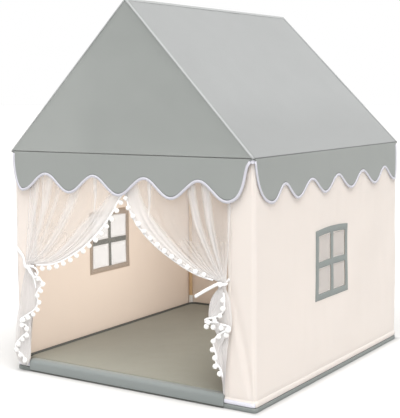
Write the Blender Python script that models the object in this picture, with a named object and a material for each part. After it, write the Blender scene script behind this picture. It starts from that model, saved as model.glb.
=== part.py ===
"""Children's play tent: a round-pole wooden house frame, a sewn cover, tied curtains and a padded mat."""
import bmesh
import bpy
from math import atan2, cos, hypot, pi, sin, tan
from mathutils import Matrix, Vector

# Overall sizes in metres, +Z up, the door faces -Y, origin at the middle of the floor
TENT_WIDTH = 1.067
TENT_DEPTH = 1.219
EAVE_HEIGHT = 0.850
RIDGE_HEIGHT = 1.397
RIDGE_INSET = 0.025

# Cloth, seams and setbacks of the walls behind the hanging valances
CLOTH = 0.0012
GAP = 0.0003
SIDE_SETBACK = 0.003
FRONT_SETBACK = 0.012

# Poles and their plastic connectors
POLE_RADIUS = 0.008
COLLAR_RADIUS = 0.0105
HUB_RADIUS = 0.012
HUB_CORE = 0.026
COLLAR_REACH = 0.055
CUT_OVERRUN = 0.010
ROUND_SIDES = 12

# Mat: a thin rim under the walls and a padded middle inside the base rails
RIM_THICKNESS = 0.016
RIM_PROUD_SIDE = 0.002
RIM_PROUD_FRONT = 0.004
RIM_CORNER_RADIUS = 0.014
RIM_EDGE_ROUND = 0.003
PAD_HEIGHT = 0.0425
PAD_CROWN = 0.007
PAD_EDGE_ROUND = 0.0035
PAD_DRAWN_IN = 0.0035
PAD_CORNER_RADIUS = 0.030
PAD_CLEARANCE = 0.012
MAT_SIDE_STEPS = 9
CORNER_STEPS = 3
CROWN_INSET_SHARES = (0.06, 0.2, 0.45, 0.75)

# Front flap of the mat, folded over the front base rail
FLAP_THICKNESS = 0.003
FLAP_BOTTOM = 0.004
FLAP_CORNER_RADIUS = 0.012
FLAP_CORNER_STEPS = 5
FLAP_END_GAP = 0.001

# Door side panels and the strip above the door
JAMB_WIDTH = 0.105
DOOR_HEADER_DEPTH = 0.058

# Side windows
WINDOW_WIDTH = 0.276
WINDOW_HEIGHT = 0.260
WINDOW_CENTRE_Y = -0.018
WINDOW_CENTRE_Z = 0.425
WINDOW_TRIM = 0.020
WINDOW_BAR = 0.016
WINDOW_HEM = 0.006
MESH_THICKNESS = 0.0008
MESH_OVERLAP = 0.010

# Scalloped valances and their white binding
VALANCE_DROP = 0.152
SCALLOP_RISE = 0.062
LOBE_STEPS = 10
SWEEP_STEPS = 6
FRONT_LOBES = 5
FRONT_SWEEP_LEFT = 0.058
FRONT_SWEEP_RIGHT = 0.100
SIDE_LOBES = 6
SIDE_SWEEP_FRONT = 0.1235
SIDE_SWEEP_REAR = 0.040
BINDING_WIDTH = 0.008
BINDING_THICKNESS = 0.0024

# Curtains, tied back to the door's sides
CURTAIN_TOP_DROP = 0.008
CURTAIN_MEET_X = 0.014
CURTAIN_MEET_GAP = 0.002
CURTAIN_JAMB_OVERLAP = 0.0145
CURTAIN_CLOTH = 0.0012
CURTAIN_WAIST = 0.036
WAIST_DROP = 0.018
CURTAIN_PROUD = 0.0025
CURTAIN_FOLD = 0.008
HEADER_FOLD = 0.0028
CURTAIN_FOLDS = 4
CURTAIN_COLUMNS = 24
SWAG_ROWS = 13
TAIL_ROWS = 8
WAIST_FOLD_SHARE = 0.055
CURTAIN_FREE_DROP = 0.098

# Per side: tie point, control points of the leading edge, and the tail's widths and places.
# A value that ends in _out is measured outwards from the edge of the door opening.
CURTAINS = {
    "left": {
        "side": -1, "tie_out": 0.0355, "tie_z": 0.402,
        "edge_upper_x": 0.010, "edge_upper_z": 0.610, "edge_lower_x": -0.200, "edge_lower_z": 0.408,
        "tail_middle_out": 0.0365, "tail_middle_width": 0.104,
        "tail_end_out": 0.0605, "tail_end_width": 0.066, "tail_outer_z": 0.030, "tail_inner_z": 0.090,
        "strap_out": 0.0975, "strap_z": 0.466, "ribbon_out": -0.0255, "ribbon_z": 0.330,
    },
    "right": {
        "side": 1, "tie_out": -0.0145, "tie_z": 0.425,
        "edge_upper_x": 0.022, "edge_upper_z": 0.590, "edge_lower_x": 0.180, "edge_lower_z": 0.460,
        "tail_middle_out": -0.0355, "tail_middle_width": 0.090,
        "tail_end_out": -0.0175, "tail_end_width": 0.050, "tail_outer_z": 0.110, "tail_inner_z": 0.150,
        "strap_out": 0.0445, "strap_z": 0.440, "ribbon_out": -0.1145, "ribbon_z": 0.369,
    },
}

# Ball trim on the curtains
BALL_RADIUS = 0.0075
BALL_SPACING = 0.036
BALL_SIDES = 8
BALL_RINGS = 4
BALL_SEAT = 0.0012
TAPE_WIDTH = 0.006
TAPE_GAP = 0.0007
TAPE_START_DROP = 0.043
TAPE_TIE_CLEARANCE = 0.016

# Ribbon tie-backs
RIBBON_WIDTH = 0.008
RIBBON_THICKNESS = 0.0012
RIBBON_FORWARD = 0.020
TIE_RING_CLEARANCE = 0.002
TIE_RING_END_ROOM = 0.0065
TIE_RING_SIDES = 16

# Derived places
HALF_WIDTH = TENT_WIDTH / 2
HALF_DEPTH = TENT_DEPTH / 2
SLOPE = atan2(RIDGE_HEIGHT - EAVE_HEIGHT, HALF_WIDTH)
SEAM_Z = EAVE_HEIGHT - CLOTH / cos(SLOPE)
WALL_X = HALF_WIDTH - SIDE_SETBACK
REAR_Y = HALF_DEPTH - SIDE_SETBACK
FRONT_Y = -HALF_DEPTH + FRONT_SETBACK
HUB_STANDOFF = CLOTH + GAP + HUB_RADIUS
FRAME_X = WALL_X - HUB_STANDOFF
FRAME_REAR_Y = REAR_Y - HUB_STANDOFF
FRAME_FRONT_Y = FRONT_Y + HUB_STANDOFF
BASE_Z = RIM_THICKNESS + GAP + HUB_RADIUS
EAVE_Z = EAVE_HEIGHT - (HUB_STANDOFF - (HALF_WIDTH - FRAME_X) * sin(SLOPE)) / cos(SLOPE)
RIDGE_Z = RIDGE_HEIGHT - HUB_STANDOFF / cos(SLOPE)
SOCKET_RADIUS = POLE_RADIUS + GAP
SLEEVE_RADIUS = SOCKET_RADIUS + CLOTH
JAMB_INNER_X = WALL_X - JAMB_WIDTH
PAD_X = FRAME_X - PAD_CLEARANCE
PAD_FRONT_Y = FRAME_FRONT_Y + PAD_CLEARANCE
PAD_REAR_Y = FRAME_REAR_Y - PAD_CLEARANCE
RIM_X = WALL_X + RIM_PROUD_SIDE
RIM_REAR_Y = REAR_Y + RIM_PROUD_SIDE
RIM_FRONT_Y = FRONT_Y - RIM_PROUD_FRONT
FLAP_TOP = PAD_HEIGHT + FLAP_THICKNESS
VALANCE_TOP = SEAM_Z - GAP
VALANCE_BOTTOM = EAVE_HEIGHT - VALANCE_DROP
CURTAIN_TOP = EAVE_HEIGHT - CURTAIN_TOP_DROP
CURTAIN_Y = -HALF_DEPTH - CURTAIN_PROUD
TAPE_START_Z = VALANCE_BOTTOM - TAPE_START_DROP


def clear_scene():
    for obj in list(bpy.data.objects):
        bpy.data.objects.remove(obj, do_unlink=True)


def make_material(name, colour, roughness):
    material = bpy.data.materials.new(name)
    material.use_nodes = True
    shader = material.node_tree.nodes["Principled BSDF"]
    shader.inputs["Base Color"].default_value = (*colour, 1)
    shader.inputs["Roughness"].default_value = roughness
    shader.inputs["Metallic"].default_value = 0
    return material


def finish_object(name, bm, material, smooth=False):
    """Turns a bmesh into a named object with outward faces."""
    bmesh.ops.remove_doubles(bm, verts=bm.verts, dist=GAP / 10)
    bmesh.ops.recalc_face_normals(bm, faces=bm.faces)
    mesh = bpy.data.meshes.new(name)
    bm.to_mesh(mesh)
    bm.free()
    mesh.materials.append(material)
    if smooth:
        mesh.shade_smooth()
        mesh.set_sharp_from_angle(angle=pi / 5)
    obj = bpy.data.objects.new(name, mesh)
    bpy.context.scene.collection.objects.link(obj)
    return obj


def as_cutter(obj):
    obj.hide_render = True
    obj.display_type = "WIRE"
    return obj


def combine(obj, other, operation):
    """Adds an exact boolean whose operand is hidden from the build."""
    step = obj.modifiers.new(operation.lower(), "BOOLEAN")
    step.operation = operation
    step.solver = "EXACT"
    step.use_self = True
    step.object = as_cutter(other)


def add_loft(bm, loops):
    """Skins closed loops of equal length, one after the other, and caps both ends."""
    rings = [[bm.verts.new(point) for point in loop] for loop in loops]
    for ring, following in zip(rings, rings[1:]):
        for i in range(len(ring)):
            j = (i + 1) % len(ring)
            bm.faces.new((ring[i], ring[j], following[j], following[i]))
    bm.faces.new(rings[0])
    bm.faces.new(rings[-1])


def add_box(bm, low, high):
    low, high = Vector(low), Vector(high)
    size = high - low
    place = Matrix.Translation((low + high) / 2) @ Matrix.Diagonal((*size, 1))
    bmesh.ops.create_cube(bm, size=1, matrix=place)


def add_rod(bm, start, end, radius, sides=ROUND_SIDES):
    start, end = Vector(start), Vector(end)
    along = end - start
    place = Matrix.Translation((start + end) / 2) @ along.to_track_quat("Z", "Y").to_matrix().to_4x4()
    bmesh.ops.create_cone(bm, cap_ends=True, segments=sides, radius1=radius, radius2=radius,
                          depth=along.length, matrix=place)


def gable_y(z, end):
    """Depth of the front (-1) or rear (1) gable's outer face, which leans in towards the ridge."""
    lean = RIDGE_INSET * (z - EAVE_HEIGHT) / (RIDGE_HEIGHT - EAVE_HEIGHT)
    return end * (HALF_DEPTH - lean)


def roof_panel(name, side, material):
    """One roof slope, mitred at the ridge and cut upright at the eave."""
    section = [
        (side * GAP / 2, RIDGE_HEIGHT - tan(SLOPE) * GAP / 2),
        (side * HALF_WIDTH, EAVE_HEIGHT),
        (side * HALF_WIDTH, SEAM_Z),
        (side * GAP / 2, RIDGE_HEIGHT - CLOTH / cos(SLOPE) - tan(SLOPE) * GAP / 2),
    ]
    bm = bmesh.new()
    add_loft(bm, [[(x, gable_y(z, end), z) for x, z in section] for end in (-1, 1)])
    finish_object(name, bm, material)


def gable_panel(name, end, material):
    """The triangle under the two roof slopes."""
    apex_z = RIDGE_HEIGHT - (CLOTH + GAP) / cos(SLOPE)
    half_base = (apex_z - SEAM_Z) / tan(SLOPE)
    corners = [(-half_base, SEAM_Z), (half_base, SEAM_Z), (0, apex_z)]
    loops = []
    for depth in (0, CLOTH):
        loops.append([(x, gable_y(z, end) - end * depth, z) for x, z in corners])
    bm = bmesh.new()
    add_loft(bm, loops)
    finish_object(name, bm, material)


def scallop_line(length, lobes, sweep_start, sweep_end):
    """Lower edge of a valance as (distance along, height), from one eave corner to the other."""
    inset = BINDING_WIDTH + GAP
    start_top = VALANCE_TOP - BINDING_WIDTH
    rise = start_top - VALANCE_BOTTOM
    pitch = (length - sweep_start - sweep_end) / (lobes - 1)
    line = []
    for step in range(SWEEP_STEPS):
        turn = pi / 2 * (1 - step / SWEEP_STEPS)
        reach = sweep_start - inset
        line.append((sweep_start - reach * sin(turn), VALANCE_BOTTOM + rise * (1 - cos(turn))))
    for step in range((lobes - 1) * LOBE_STEPS + 1):
        share = step / LOBE_STEPS
        height = VALANCE_BOTTOM + SCALLOP_RISE * (1 - cos(2 * pi * share)) / 2
        line.append((sweep_start + pitch * share, height))
    for step in range(1, SWEEP_STEPS + 1):
        turn = pi / 2 * step / SWEEP_STEPS
        reach = sweep_end - inset
        line.append((length - sweep_end + reach * sin(turn), VALANCE_BOTTOM + rise * (1 - cos(turn))))
    return line


def edge_outward(line):
    """Unit directions that point out of the cloth, below its lower edge."""
    normals = []
    for i in range(len(line)):
        before, after = line[max(i - 1, 0)], line[min(i + 1, len(line) - 1)]
        dx, dz = after[0] - before[0], after[1] - before[1]
        size = hypot(dx, dz)
        normals.append((dz / size, -dx / size))
    return normals


def valance(name, origin, along, outward, line, length, material, binding_material):
    """A hanging scalloped flap and the binding on its lower edge."""
    origin, along, outward = Vector(origin), Vector(along), Vector(outward)

    def place(distance, height, depth):
        return origin + along * distance + outward * depth + Vector((0, 0, height))

    outline = [(0, VALANCE_TOP), *line, (length, VALANCE_TOP)]
    bm = bmesh.new()
    add_loft(bm, [[place(s, z, depth) for s, z in outline] for depth in (0, -CLOTH)])
    finish_object("valance_" + name, bm, material)

    middle = -CLOTH / 2
    half = BINDING_THICKNESS / 2
    sections = []
    for (s, z), (nx, nz) in zip(line, edge_outward(line)):
        inner = (s + nx * GAP, z + nz * GAP)
        outer = (s + nx * BINDING_WIDTH, z + nz * BINDING_WIDTH)
        sections.append([
            place(*inner, middle + half), place(*outer, middle + half),
            place(*outer, middle - half), place(*inner, middle - half),
        ])
    bm = bmesh.new()
    add_loft(bm, sections)
    finish_object("valance_binding_" + name, bm, binding_material)


def valances(material, binding_material):
    width_line = scallop_line(TENT_WIDTH, FRONT_LOBES, FRONT_SWEEP_LEFT, FRONT_SWEEP_RIGHT)
    valance("front", (-HALF_WIDTH, -HALF_DEPTH, 0), (1, 0, 0), (0, -1, 0), width_line, TENT_WIDTH,
            material, binding_material)
    valance("rear", (HALF_WIDTH, HALF_DEPTH, 0), (-1, 0, 0), (0, 1, 0), width_line, TENT_WIDTH,
            material, binding_material)
    end = CLOTH + GAP
    length = TENT_DEPTH - 2 * end
    side_line = scallop_line(length, SIDE_LOBES, SIDE_SWEEP_FRONT - end, SIDE_SWEEP_REAR - end)
    for name, side in (("left", -1), ("right", 1)):
        valance(name, (side * HALF_WIDTH, -HALF_DEPTH + end, 0), (0, 1, 0), (side, 0, 0), side_line, length,
                material, binding_material)


def hem_sleeve(bm, start, end, outward, flat_depth):
    """A rounded tunnel along a base rail, flat on the side of the wall."""
    start, end, outward = Vector(start), Vector(end), Vector(outward)
    up = Vector((0, 0, 1))
    profile = [(flat_depth, SLEEVE_RADIUS)]
    steps = ROUND_SIDES // 2
    for step in range(steps + 1):
        turn = pi / 2 + pi * step / steps
        profile.append((SLEEVE_RADIUS * cos(turn), SLEEVE_RADIUS * sin(turn)))
    profile.append((flat_depth, -SLEEVE_RADIUS))
    add_loft(bm, [[point + outward * d + up * z for d, z in profile] for point in (start, end)])


def side_wall(name, side, material):
    """A side of the cover with its window hole and the hem sleeve of its base rail."""
    bm = bmesh.new()
    bottom = RIM_THICKNESS + GAP
    top = SEAM_Z + SIDE_SETBACK * tan(SLOPE) - GAP / cos(SLOPE)
    outer, inner = side * WALL_X, side * (WALL_X - CLOTH)
    add_box(bm, (min(outer, inner), FRONT_Y, bottom), (max(outer, inner), REAR_Y, top))
    sleeve_front = FRAME_FRONT_Y + COLLAR_REACH + GAP
    sleeve_rear = FRAME_REAR_Y - COLLAR_REACH - GAP
    hem_sleeve(bm, (side * FRAME_X, sleeve_front, BASE_Z), (side * FRAME_X, sleeve_rear, BASE_Z),
               (side, 0, 0), HUB_STANDOFF - CLOTH / 2)
    wall = finish_object(name, bm, material)

    cut = bmesh.new()
    add_rod(cut, (side * FRAME_X, sleeve_front - CUT_OVERRUN, BASE_Z),
            (side * FRAME_X, sleeve_rear + CUT_OVERRUN, BASE_Z), SOCKET_RADIUS)
    half_w = WINDOW_WIDTH / 2 - WINDOW_TRIM + WINDOW_HEM
    half_h = WINDOW_HEIGHT / 2 - WINDOW_TRIM + WINDOW_HEM
    near, far = side * WALL_X - CUT_OVERRUN, side * WALL_X + CUT_OVERRUN
    add_box(cut, (near, WINDOW_CENTRE_Y - half_w, WINDOW_CENTRE_Z - half_h),
            (far, WINDOW_CENTRE_Y + half_w, WINDOW_CENTRE_Z + half_h))
    combine(wall, finish_object(name + "_cut", cut, material), "DIFFERENCE")


def rear_wall(material):
    bm = bmesh.new()
    half = WALL_X - CLOTH - GAP
    add_box(bm, (-half, REAR_Y - CLOTH, RIM_THICKNESS + GAP), (half, REAR_Y, SEAM_Z - GAP))
    reach = FRAME_X - COLLAR_REACH - GAP
    hem_sleeve(bm, (-reach, FRAME_REAR_Y, BASE_Z), (reach, FRAME_REAR_Y, BASE_Z), (0, 1, 0),
               HUB_STANDOFF - CLOTH / 2)
    wall = finish_object("wall_rear", bm, material)
    cut = bmesh.new()
    add_rod(cut, (-reach - CUT_OVERRUN, FRAME_REAR_Y, BASE_Z), (reach + CUT_OVERRUN, FRAME_REAR_Y, BASE_Z),
            SOCKET_RADIUS)
    combine(wall, finish_object("wall_rear_cut", cut, material), "DIFFERENCE")


def door_side(name, side, material):
    """The narrow panel beside the door, with the hem sleeve that holds the front rail's end."""
    outer = side * (WALL_X - CLOTH - GAP)
    inner = side * JAMB_INNER_X
    bm = bmesh.new()
    add_box(bm, (min(outer, inner), FRONT_Y, RIM_THICKNESS + GAP),
            (max(outer, inner), FRONT_Y + CLOTH, SEAM_Z - GAP))
    sleeve_end = side * (FRAME_X - COLLAR_REACH - GAP)
    hem_sleeve(bm, (inner, FRAME_FRONT_Y, BASE_Z), (sleeve_end, FRAME_FRONT_Y, BASE_Z), (0, -1, 0),
               HUB_STANDOFF - CLOTH / 2)
    panel = finish_object("door_side_" + name, bm, material)
    cut = bmesh.new()
    add_rod(cut, (inner - side * CUT_OVERRUN, FRAME_FRONT_Y, BASE_Z),
            (sleeve_end + side * CUT_OVERRUN, FRAME_FRONT_Y, BASE_Z), SOCKET_RADIUS)
    combine(panel, finish_object("door_side_cut_" + name, cut, material), "DIFFERENCE")


def door_header(material):
    bm = bmesh.new()
    half = JAMB_INNER_X - GAP
    add_box(bm, (-half, FRONT_Y, SEAM_Z - GAP - DOOR_HEADER_DEPTH), (half, FRONT_Y + CLOTH, SEAM_Z - GAP))
    finish_object("door_header", bm, material)


def window(name, side, trim_material, mesh_material):
    """Grey trim with a cross on the outside, sheer mesh on the inside."""
    half_w, half_h = WINDOW_WIDTH / 2, WINDOW_HEIGHT / 2
    face = WALL_X + GAP
    bm = bmesh.new()
    near, far = side * face, side * (face + CLOTH)
    add_box(bm, (min(near, far), WINDOW_CENTRE_Y - half_w, WINDOW_CENTRE_Z - half_h),
            (max(near, far), WINDOW_CENTRE_Y + half_w, WINDOW_CENTRE_Z + half_h))
    trim = finish_object("window_trim_" + name, bm, trim_material)
    cut = bmesh.new()
    reach_w, reach_h = half_w - WINDOW_TRIM, half_h - WINDOW_TRIM
    for column in (-1, 1):
        for row in (-1, 1):
            inner = (WINDOW_CENTRE_Y + column * WINDOW_BAR / 2, WINDOW_CENTRE_Z + row * WINDOW_BAR / 2)
            outer = (WINDOW_CENTRE_Y + column * reach_w, WINDOW_CENTRE_Z + row * reach_h)
            low = (side * face - CUT_OVERRUN, min(inner[0], outer[0]), min(inner[1], outer[1]))
            high = (side * face + CUT_OVERRUN, max(inner[0], outer[0]), max(inner[1], outer[1]))
            add_box(cut, low, high)
    combine(trim, finish_object("window_cut_" + name, cut, trim_material), "DIFFERENCE")

    bm = bmesh.new()
    back = WALL_X - CLOTH - GAP
    near, far = side * back, side * (back - MESH_THICKNESS)
    mesh_w, mesh_h = reach_w + MESH_OVERLAP, reach_h + MESH_OVERLAP
    add_box(bm, (min(near, far), WINDOW_CENTRE_Y - mesh_w, WINDOW_CENTRE_Z - mesh_h),
            (max(near, far), WINDOW_CENTRE_Y + mesh_w, WINDOW_CENTRE_Z + mesh_h))
    finish_object("window_mesh_" + name, bm, mesh_material)


def frame_nodes():
    """Places where pole axes meet."""
    nodes = {}
    for side_name, side in (("left", -1), ("right", 1)):
        for end_name, y in (("front", FRAME_FRONT_Y), ("rear", FRAME_REAR_Y)):
            nodes["base", end_name, side_name] = Vector((side * FRAME_X, y, BASE_Z))
            nodes["eave", end_name, side_name] = Vector((side * FRAME_X, y, EAVE_Z))
    nodes["ridge", "front"] = Vector((0, FRAME_FRONT_Y + RIDGE_INSET, RIDGE_Z))
    nodes["ridge", "rear"] = Vector((0, FRAME_REAR_Y - RIDGE_INSET, RIDGE_Z))
    return nodes


def frame_links():
    """Pole names and the two places that each one joins."""
    links = {"ridge_pole": (("ridge", "front"), ("ridge", "rear"))}
    for level in ("base", "eave"):
        for end in ("front", "rear"):
            links[f"{level}_rail_{end}"] = ((level, end, "left"), (level, end, "right"))
        for side in ("left", "right"):
            links[f"{level}_rail_{side}"] = ((level, "front", side), (level, "rear", side))
    for end in ("front", "rear"):
        for side in ("left", "right"):
            links[f"post_{end}_{side}"] = (("base", end, side), ("eave", end, side))
            links[f"rafter_{end}_{side}"] = (("eave", end, side), ("ridge", end))
    return links


def frame(wood, plastic):
    nodes, links = frame_nodes(), frame_links()
    reaches = {key: [] for key in nodes}
    for name, (start_key, end_key) in links.items():
        start, end = nodes[start_key], nodes[end_key]
        way = (end - start).normalized()
        bm = bmesh.new()
        add_rod(bm, start + way * (HUB_CORE + GAP), end - way * (HUB_CORE + GAP), POLE_RADIUS)
        finish_object(name, bm, wood, smooth=True)
        reaches[start_key].append(way)
        reaches[end_key].append(-way)
    for key, ways in reaches.items():
        name = "_".join((key[0], "connector") + key[1:])
        bm = bmesh.new()
        centre = nodes[key]
        bmesh.ops.create_icosphere(bm, subdivisions=2, radius=HUB_RADIUS, matrix=Matrix.Translation(centre))
        for way in ways:
            add_rod(bm, centre, centre + way * COLLAR_REACH, COLLAR_RADIUS)
        connector = finish_object(name, bm, plastic, smooth=True)
        cut = bmesh.new()
        for way in ways:
            add_rod(cut, centre + way * HUB_CORE, centre + way * (COLLAR_REACH + CUT_OVERRUN), SOCKET_RADIUS)
        combine(connector, finish_object(name + "_cut", cut, plastic), "DIFFERENCE")


def rounded_ring(half_x, front_y, rear_y, radius, z, pull=0):
    """A rounded rectangle whose sides are pulled in between the corners."""
    middle_y = (front_y + rear_y) / 2
    half_y = (rear_y - front_y) / 2
    points = []
    for quarter, (sx, sy) in enumerate(((1, 1), (-1, 1), (-1, -1), (1, -1))):
        centre = Vector((sx * (half_x - radius), sy * (half_y - radius)))
        for step in range(CORNER_STEPS + 1):
            turn = pi / 2 * (quarter + step / CORNER_STEPS)
            points.append(centre + Vector((cos(turn), sin(turn))) * radius)
        following = ((-1, 1), (-1, -1), (1, -1), (1, 1))[quarter]
        last = points[-1]
        next_centre = Vector((following[0] * (half_x - radius), following[1] * (half_y - radius)))
        turn = pi / 2 * (quarter + 1)
        target = next_centre + Vector((cos(turn), sin(turn))) * radius
        inward = -Vector((cos(turn), sin(turn)))
        for step in range(1, MAT_SIDE_STEPS):
            share = step / MAT_SIDE_STEPS
            points.append(last.lerp(target, share) + inward * pull * sin(pi * share))
    return [(point.x, point.y + middle_y, z) for point in points]


def floor_mat(material):
    """Rim that lies under the walls, and the crowned pad inside the rails."""
    step = RIM_EDGE_ROUND
    rings = [
        rounded_ring(RIM_X - step, RIM_FRONT_Y + step, RIM_REAR_Y - step, RIM_CORNER_RADIUS, 0),
        rounded_ring(RIM_X, RIM_FRONT_Y, RIM_REAR_Y, RIM_CORNER_RADIUS, step),
        rounded_ring(RIM_X, RIM_FRONT_Y, RIM_REAR_Y, RIM_CORNER_RADIUS, RIM_THICKNESS - step),
        rounded_ring(RIM_X - step, RIM_FRONT_Y + step, RIM_REAR_Y - step, RIM_CORNER_RADIUS, RIM_THICKNESS),
        rounded_ring(PAD_X, PAD_FRONT_Y, PAD_REAR_Y, PAD_CORNER_RADIUS, RIM_THICKNESS, PAD_DRAWN_IN / 2),
        rounded_ring(PAD_X, PAD_FRONT_Y, PAD_REAR_Y, PAD_CORNER_RADIUS, PAD_HEIGHT),
    ]
    inset = PAD_EDGE_ROUND
    rings.append(rounded_ring(PAD_X - inset, PAD_FRONT_Y + inset, PAD_REAR_Y - inset, PAD_CORNER_RADIUS,
                              PAD_HEIGHT + inset * 2 / 3))
    crown_base = PAD_HEIGHT + inset
    for share in CROWN_INSET_SHARES:
        inset_by = share * PAD_X
        height = crown_base + PAD_CROWN * sin(pi / 2 * share) - PAD_EDGE_ROUND * (1 - share) / 3
        rings.append(rounded_ring(PAD_X - inset_by, PAD_FRONT_Y + inset_by, PAD_REAR_Y - inset_by,
                                  PAD_CORNER_RADIUS * (1 - share), height))
    bm = bmesh.new()
    add_loft(bm, rings)
    finish_object("floor_mat", bm, material, smooth=True)


def front_flap(material):
    """Padded front edge of the mat, which folds over the front base rail."""
    rear = PAD_FRONT_Y - GAP
    front_inner = RIM_FRONT_Y - GAP
    front_outer = front_inner - FLAP_THICKNESS
    outer_radius = FLAP_CORNER_RADIUS
    inner_radius = outer_radius - FLAP_THICKNESS
    centre_y, centre_z = front_outer + outer_radius, FLAP_TOP - outer_radius
    outer, inner = [(rear, FLAP_TOP)], [(rear, FLAP_TOP - FLAP_THICKNESS)]
    for step in range(FLAP_CORNER_STEPS + 1):
        turn = pi / 2 * (1 + step / FLAP_CORNER_STEPS)
        outer.append((centre_y + outer_radius * cos(turn), centre_z + outer_radius * sin(turn)))
        inner.append((centre_y + inner_radius * cos(turn), centre_z + inner_radius * sin(turn)))
    outer.append((front_outer, FLAP_BOTTOM))
    inner.append((front_inner, FLAP_BOTTOM))
    section = outer + inner[::-1]
    half = JAMB_INNER_X - FLAP_END_GAP
    bm = bmesh.new()
    add_loft(bm, [[(x, y, z) for y, z in section] for x in (-half, half)])
    finish_object("mat_front_flap", bm, material, smooth=True)


def mix(a, b, share):
    return a + (b - a) * share


def smooth_share(share):
    share = min(max(share, 0), 1)
    return share * share * (3 - 2 * share)


def from_jamb(data, key):
    """A place across the door, from its distance outwards of the opening's edge."""
    return data["side"] * (JAMB_INNER_X + data[key])


def leading_edge(data, share):
    """Point (x, z) on the curtain's inner edge, from the header down to the tie."""
    side = data["side"]
    start = Vector((CURTAIN_MEET_X + side * CURTAIN_MEET_GAP, CURTAIN_TOP))
    end = Vector((from_jamb(data, "tie_out") - side * CURTAIN_WAIST / 2, data["tie_z"]))
    upper = Vector((data["edge_upper_x"], data["edge_upper_z"]))
    lower = Vector((data["edge_lower_x"], data["edge_lower_z"]))
    rest = 1 - share
    return (rest ** 3 * start + 3 * rest ** 2 * share * upper
            + 3 * rest * share ** 2 * lower + share ** 3 * end)


def curtain_middle_y(z):
    """Depth of the cloth's middle: behind the valance above, in front of the door's sides below."""
    behind_valance = (FRONT_Y + -HALF_DEPTH + CLOTH) / 2
    share = smooth_share((VALANCE_BOTTOM - z) / CURTAIN_FREE_DROP)
    return mix(behind_valance, CURTAIN_Y, share)


def fold_height(z, width):
    share = smooth_share((VALANCE_BOTTOM - z) / CURTAIN_FREE_DROP)
    hung = smooth_share((CURTAIN_TOP - z) / (CURTAIN_TOP - VALANCE_BOTTOM))
    return min(mix(HEADER_FOLD * hung, CURTAIN_FOLD, share), WAIST_FOLD_SHARE * width)


def curtain_rows(data):
    """Rows of points from the header to the tie and down the tail."""
    side, tie_x = data["side"], from_jamb(data, "tie_out")
    header_x = side * (JAMB_INNER_X + CURTAIN_JAMB_OVERLAP)
    ends = []
    for row in range(SWAG_ROWS + 1):
        share = row / SWAG_ROWS
        post_x = mix(header_x, tie_x + side * CURTAIN_WAIST / 2, share)
        post = Vector((post_x, mix(CURTAIN_TOP, data["tie_z"], share)))
        ends.append((post, leading_edge(data, share)))
    tail_top = data["tie_z"] - WAIST_DROP
    for row in range(TAIL_ROWS + 1):
        share = row / TAIL_ROWS
        if share < 0.5:
            part = smooth_share(share / 0.5)
            middle = mix(from_jamb(data, "tie_out"), from_jamb(data, "tail_middle_out"), part)
            width = mix(CURTAIN_WAIST, data["tail_middle_width"], part)
        else:
            part = smooth_share(share / 0.5 - 1)
            middle = mix(from_jamb(data, "tail_middle_out"), from_jamb(data, "tail_end_out"), part)
            width = mix(data["tail_middle_width"], data["tail_end_width"], part)
        post = Vector((middle + side * width / 2, mix(tail_top, data["tail_outer_z"], share)))
        lead = Vector((middle - side * width / 2, mix(tail_top, data["tail_inner_z"], share)))
        ends.append((post, lead))
    rows = []
    for post, lead in ends:
        width = (lead - post).length
        line = []
        for column in range(CURTAIN_COLUMNS + 1):
            share = column / CURTAIN_COLUMNS
            point = post.lerp(lead, share)
            wave = cos(2 * pi * CURTAIN_FOLDS * share)
            y = curtain_middle_y(point.y) + fold_height(point.y, width) * wave
            line.append(Vector((point.x, y, point.y)))
        rows.append(line)
    return rows


def curtain(name, data, material):
    rows = curtain_rows(data)
    bm = bmesh.new()
    grid = [[bm.verts.new(point) for point in row] for row in rows]
    for upper, lower in zip(grid, grid[1:]):
        for column in range(CURTAIN_COLUMNS):
            bm.faces.new((upper[column], upper[column + 1], lower[column + 1], lower[column]))
    obj = finish_object("curtain_" + name, bm, material, smooth=True)
    thicken = obj.modifiers.new("thickness", "SOLIDIFY")
    thicken.thickness = CURTAIN_CLOTH
    thicken.offset = 0
    return rows


def along_path(path, spacing, start):
    """Points and directions at equal spacing on a polyline."""
    places, travelled, wanted = [], 0, start
    for a, b in zip(path, path[1:]):
        length = (b - a).length
        while travelled + length >= wanted:
            places.append((a.lerp(b, (wanted - travelled) / length), (b - a).normalized()))
            wanted += spacing
        travelled += length
    return places


def out_of_cloth(side, run):
    """Direction out of the curtain, square to its inner edge."""
    lift = 1 if run.z < 0 else -1
    return Vector((-side * abs(run.z), 0, -side * lift * run.x)).normalized()


def ball_trim(name, side, path, material):
    """Tape along a stretch of the curtain's edge, with the balls that are sewn to it."""
    half = CURTAIN_CLOTH / 2
    front, back = Vector((0, -half, 0)), Vector((0, half, 0))
    sections = []
    for i, point in enumerate(path):
        way = out_of_cloth(side, path[min(i + 1, len(path) - 1)] - path[max(i - 1, 0)])
        inner, outer = point + way * TAPE_GAP, point + way * (TAPE_GAP + TAPE_WIDTH)
        sections.append([inner + front, outer + front, outer + back, inner + back])
    bm = bmesh.new()
    add_loft(bm, sections)
    tape = finish_object(name, bm, material, smooth=True)
    balls = bmesh.new()
    reach = TAPE_GAP + TAPE_WIDTH + BALL_RADIUS - BALL_SEAT
    for point, run in along_path(path, BALL_SPACING, BALL_SPACING / 2):
        bmesh.ops.create_uvsphere(balls, u_segments=BALL_SIDES, v_segments=BALL_RINGS, radius=BALL_RADIUS,
                                  matrix=Matrix.Translation(point + out_of_cloth(side, run) * reach))
    combine(tape, finish_object(name + "_balls", balls, material, smooth=True), "UNION")


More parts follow.
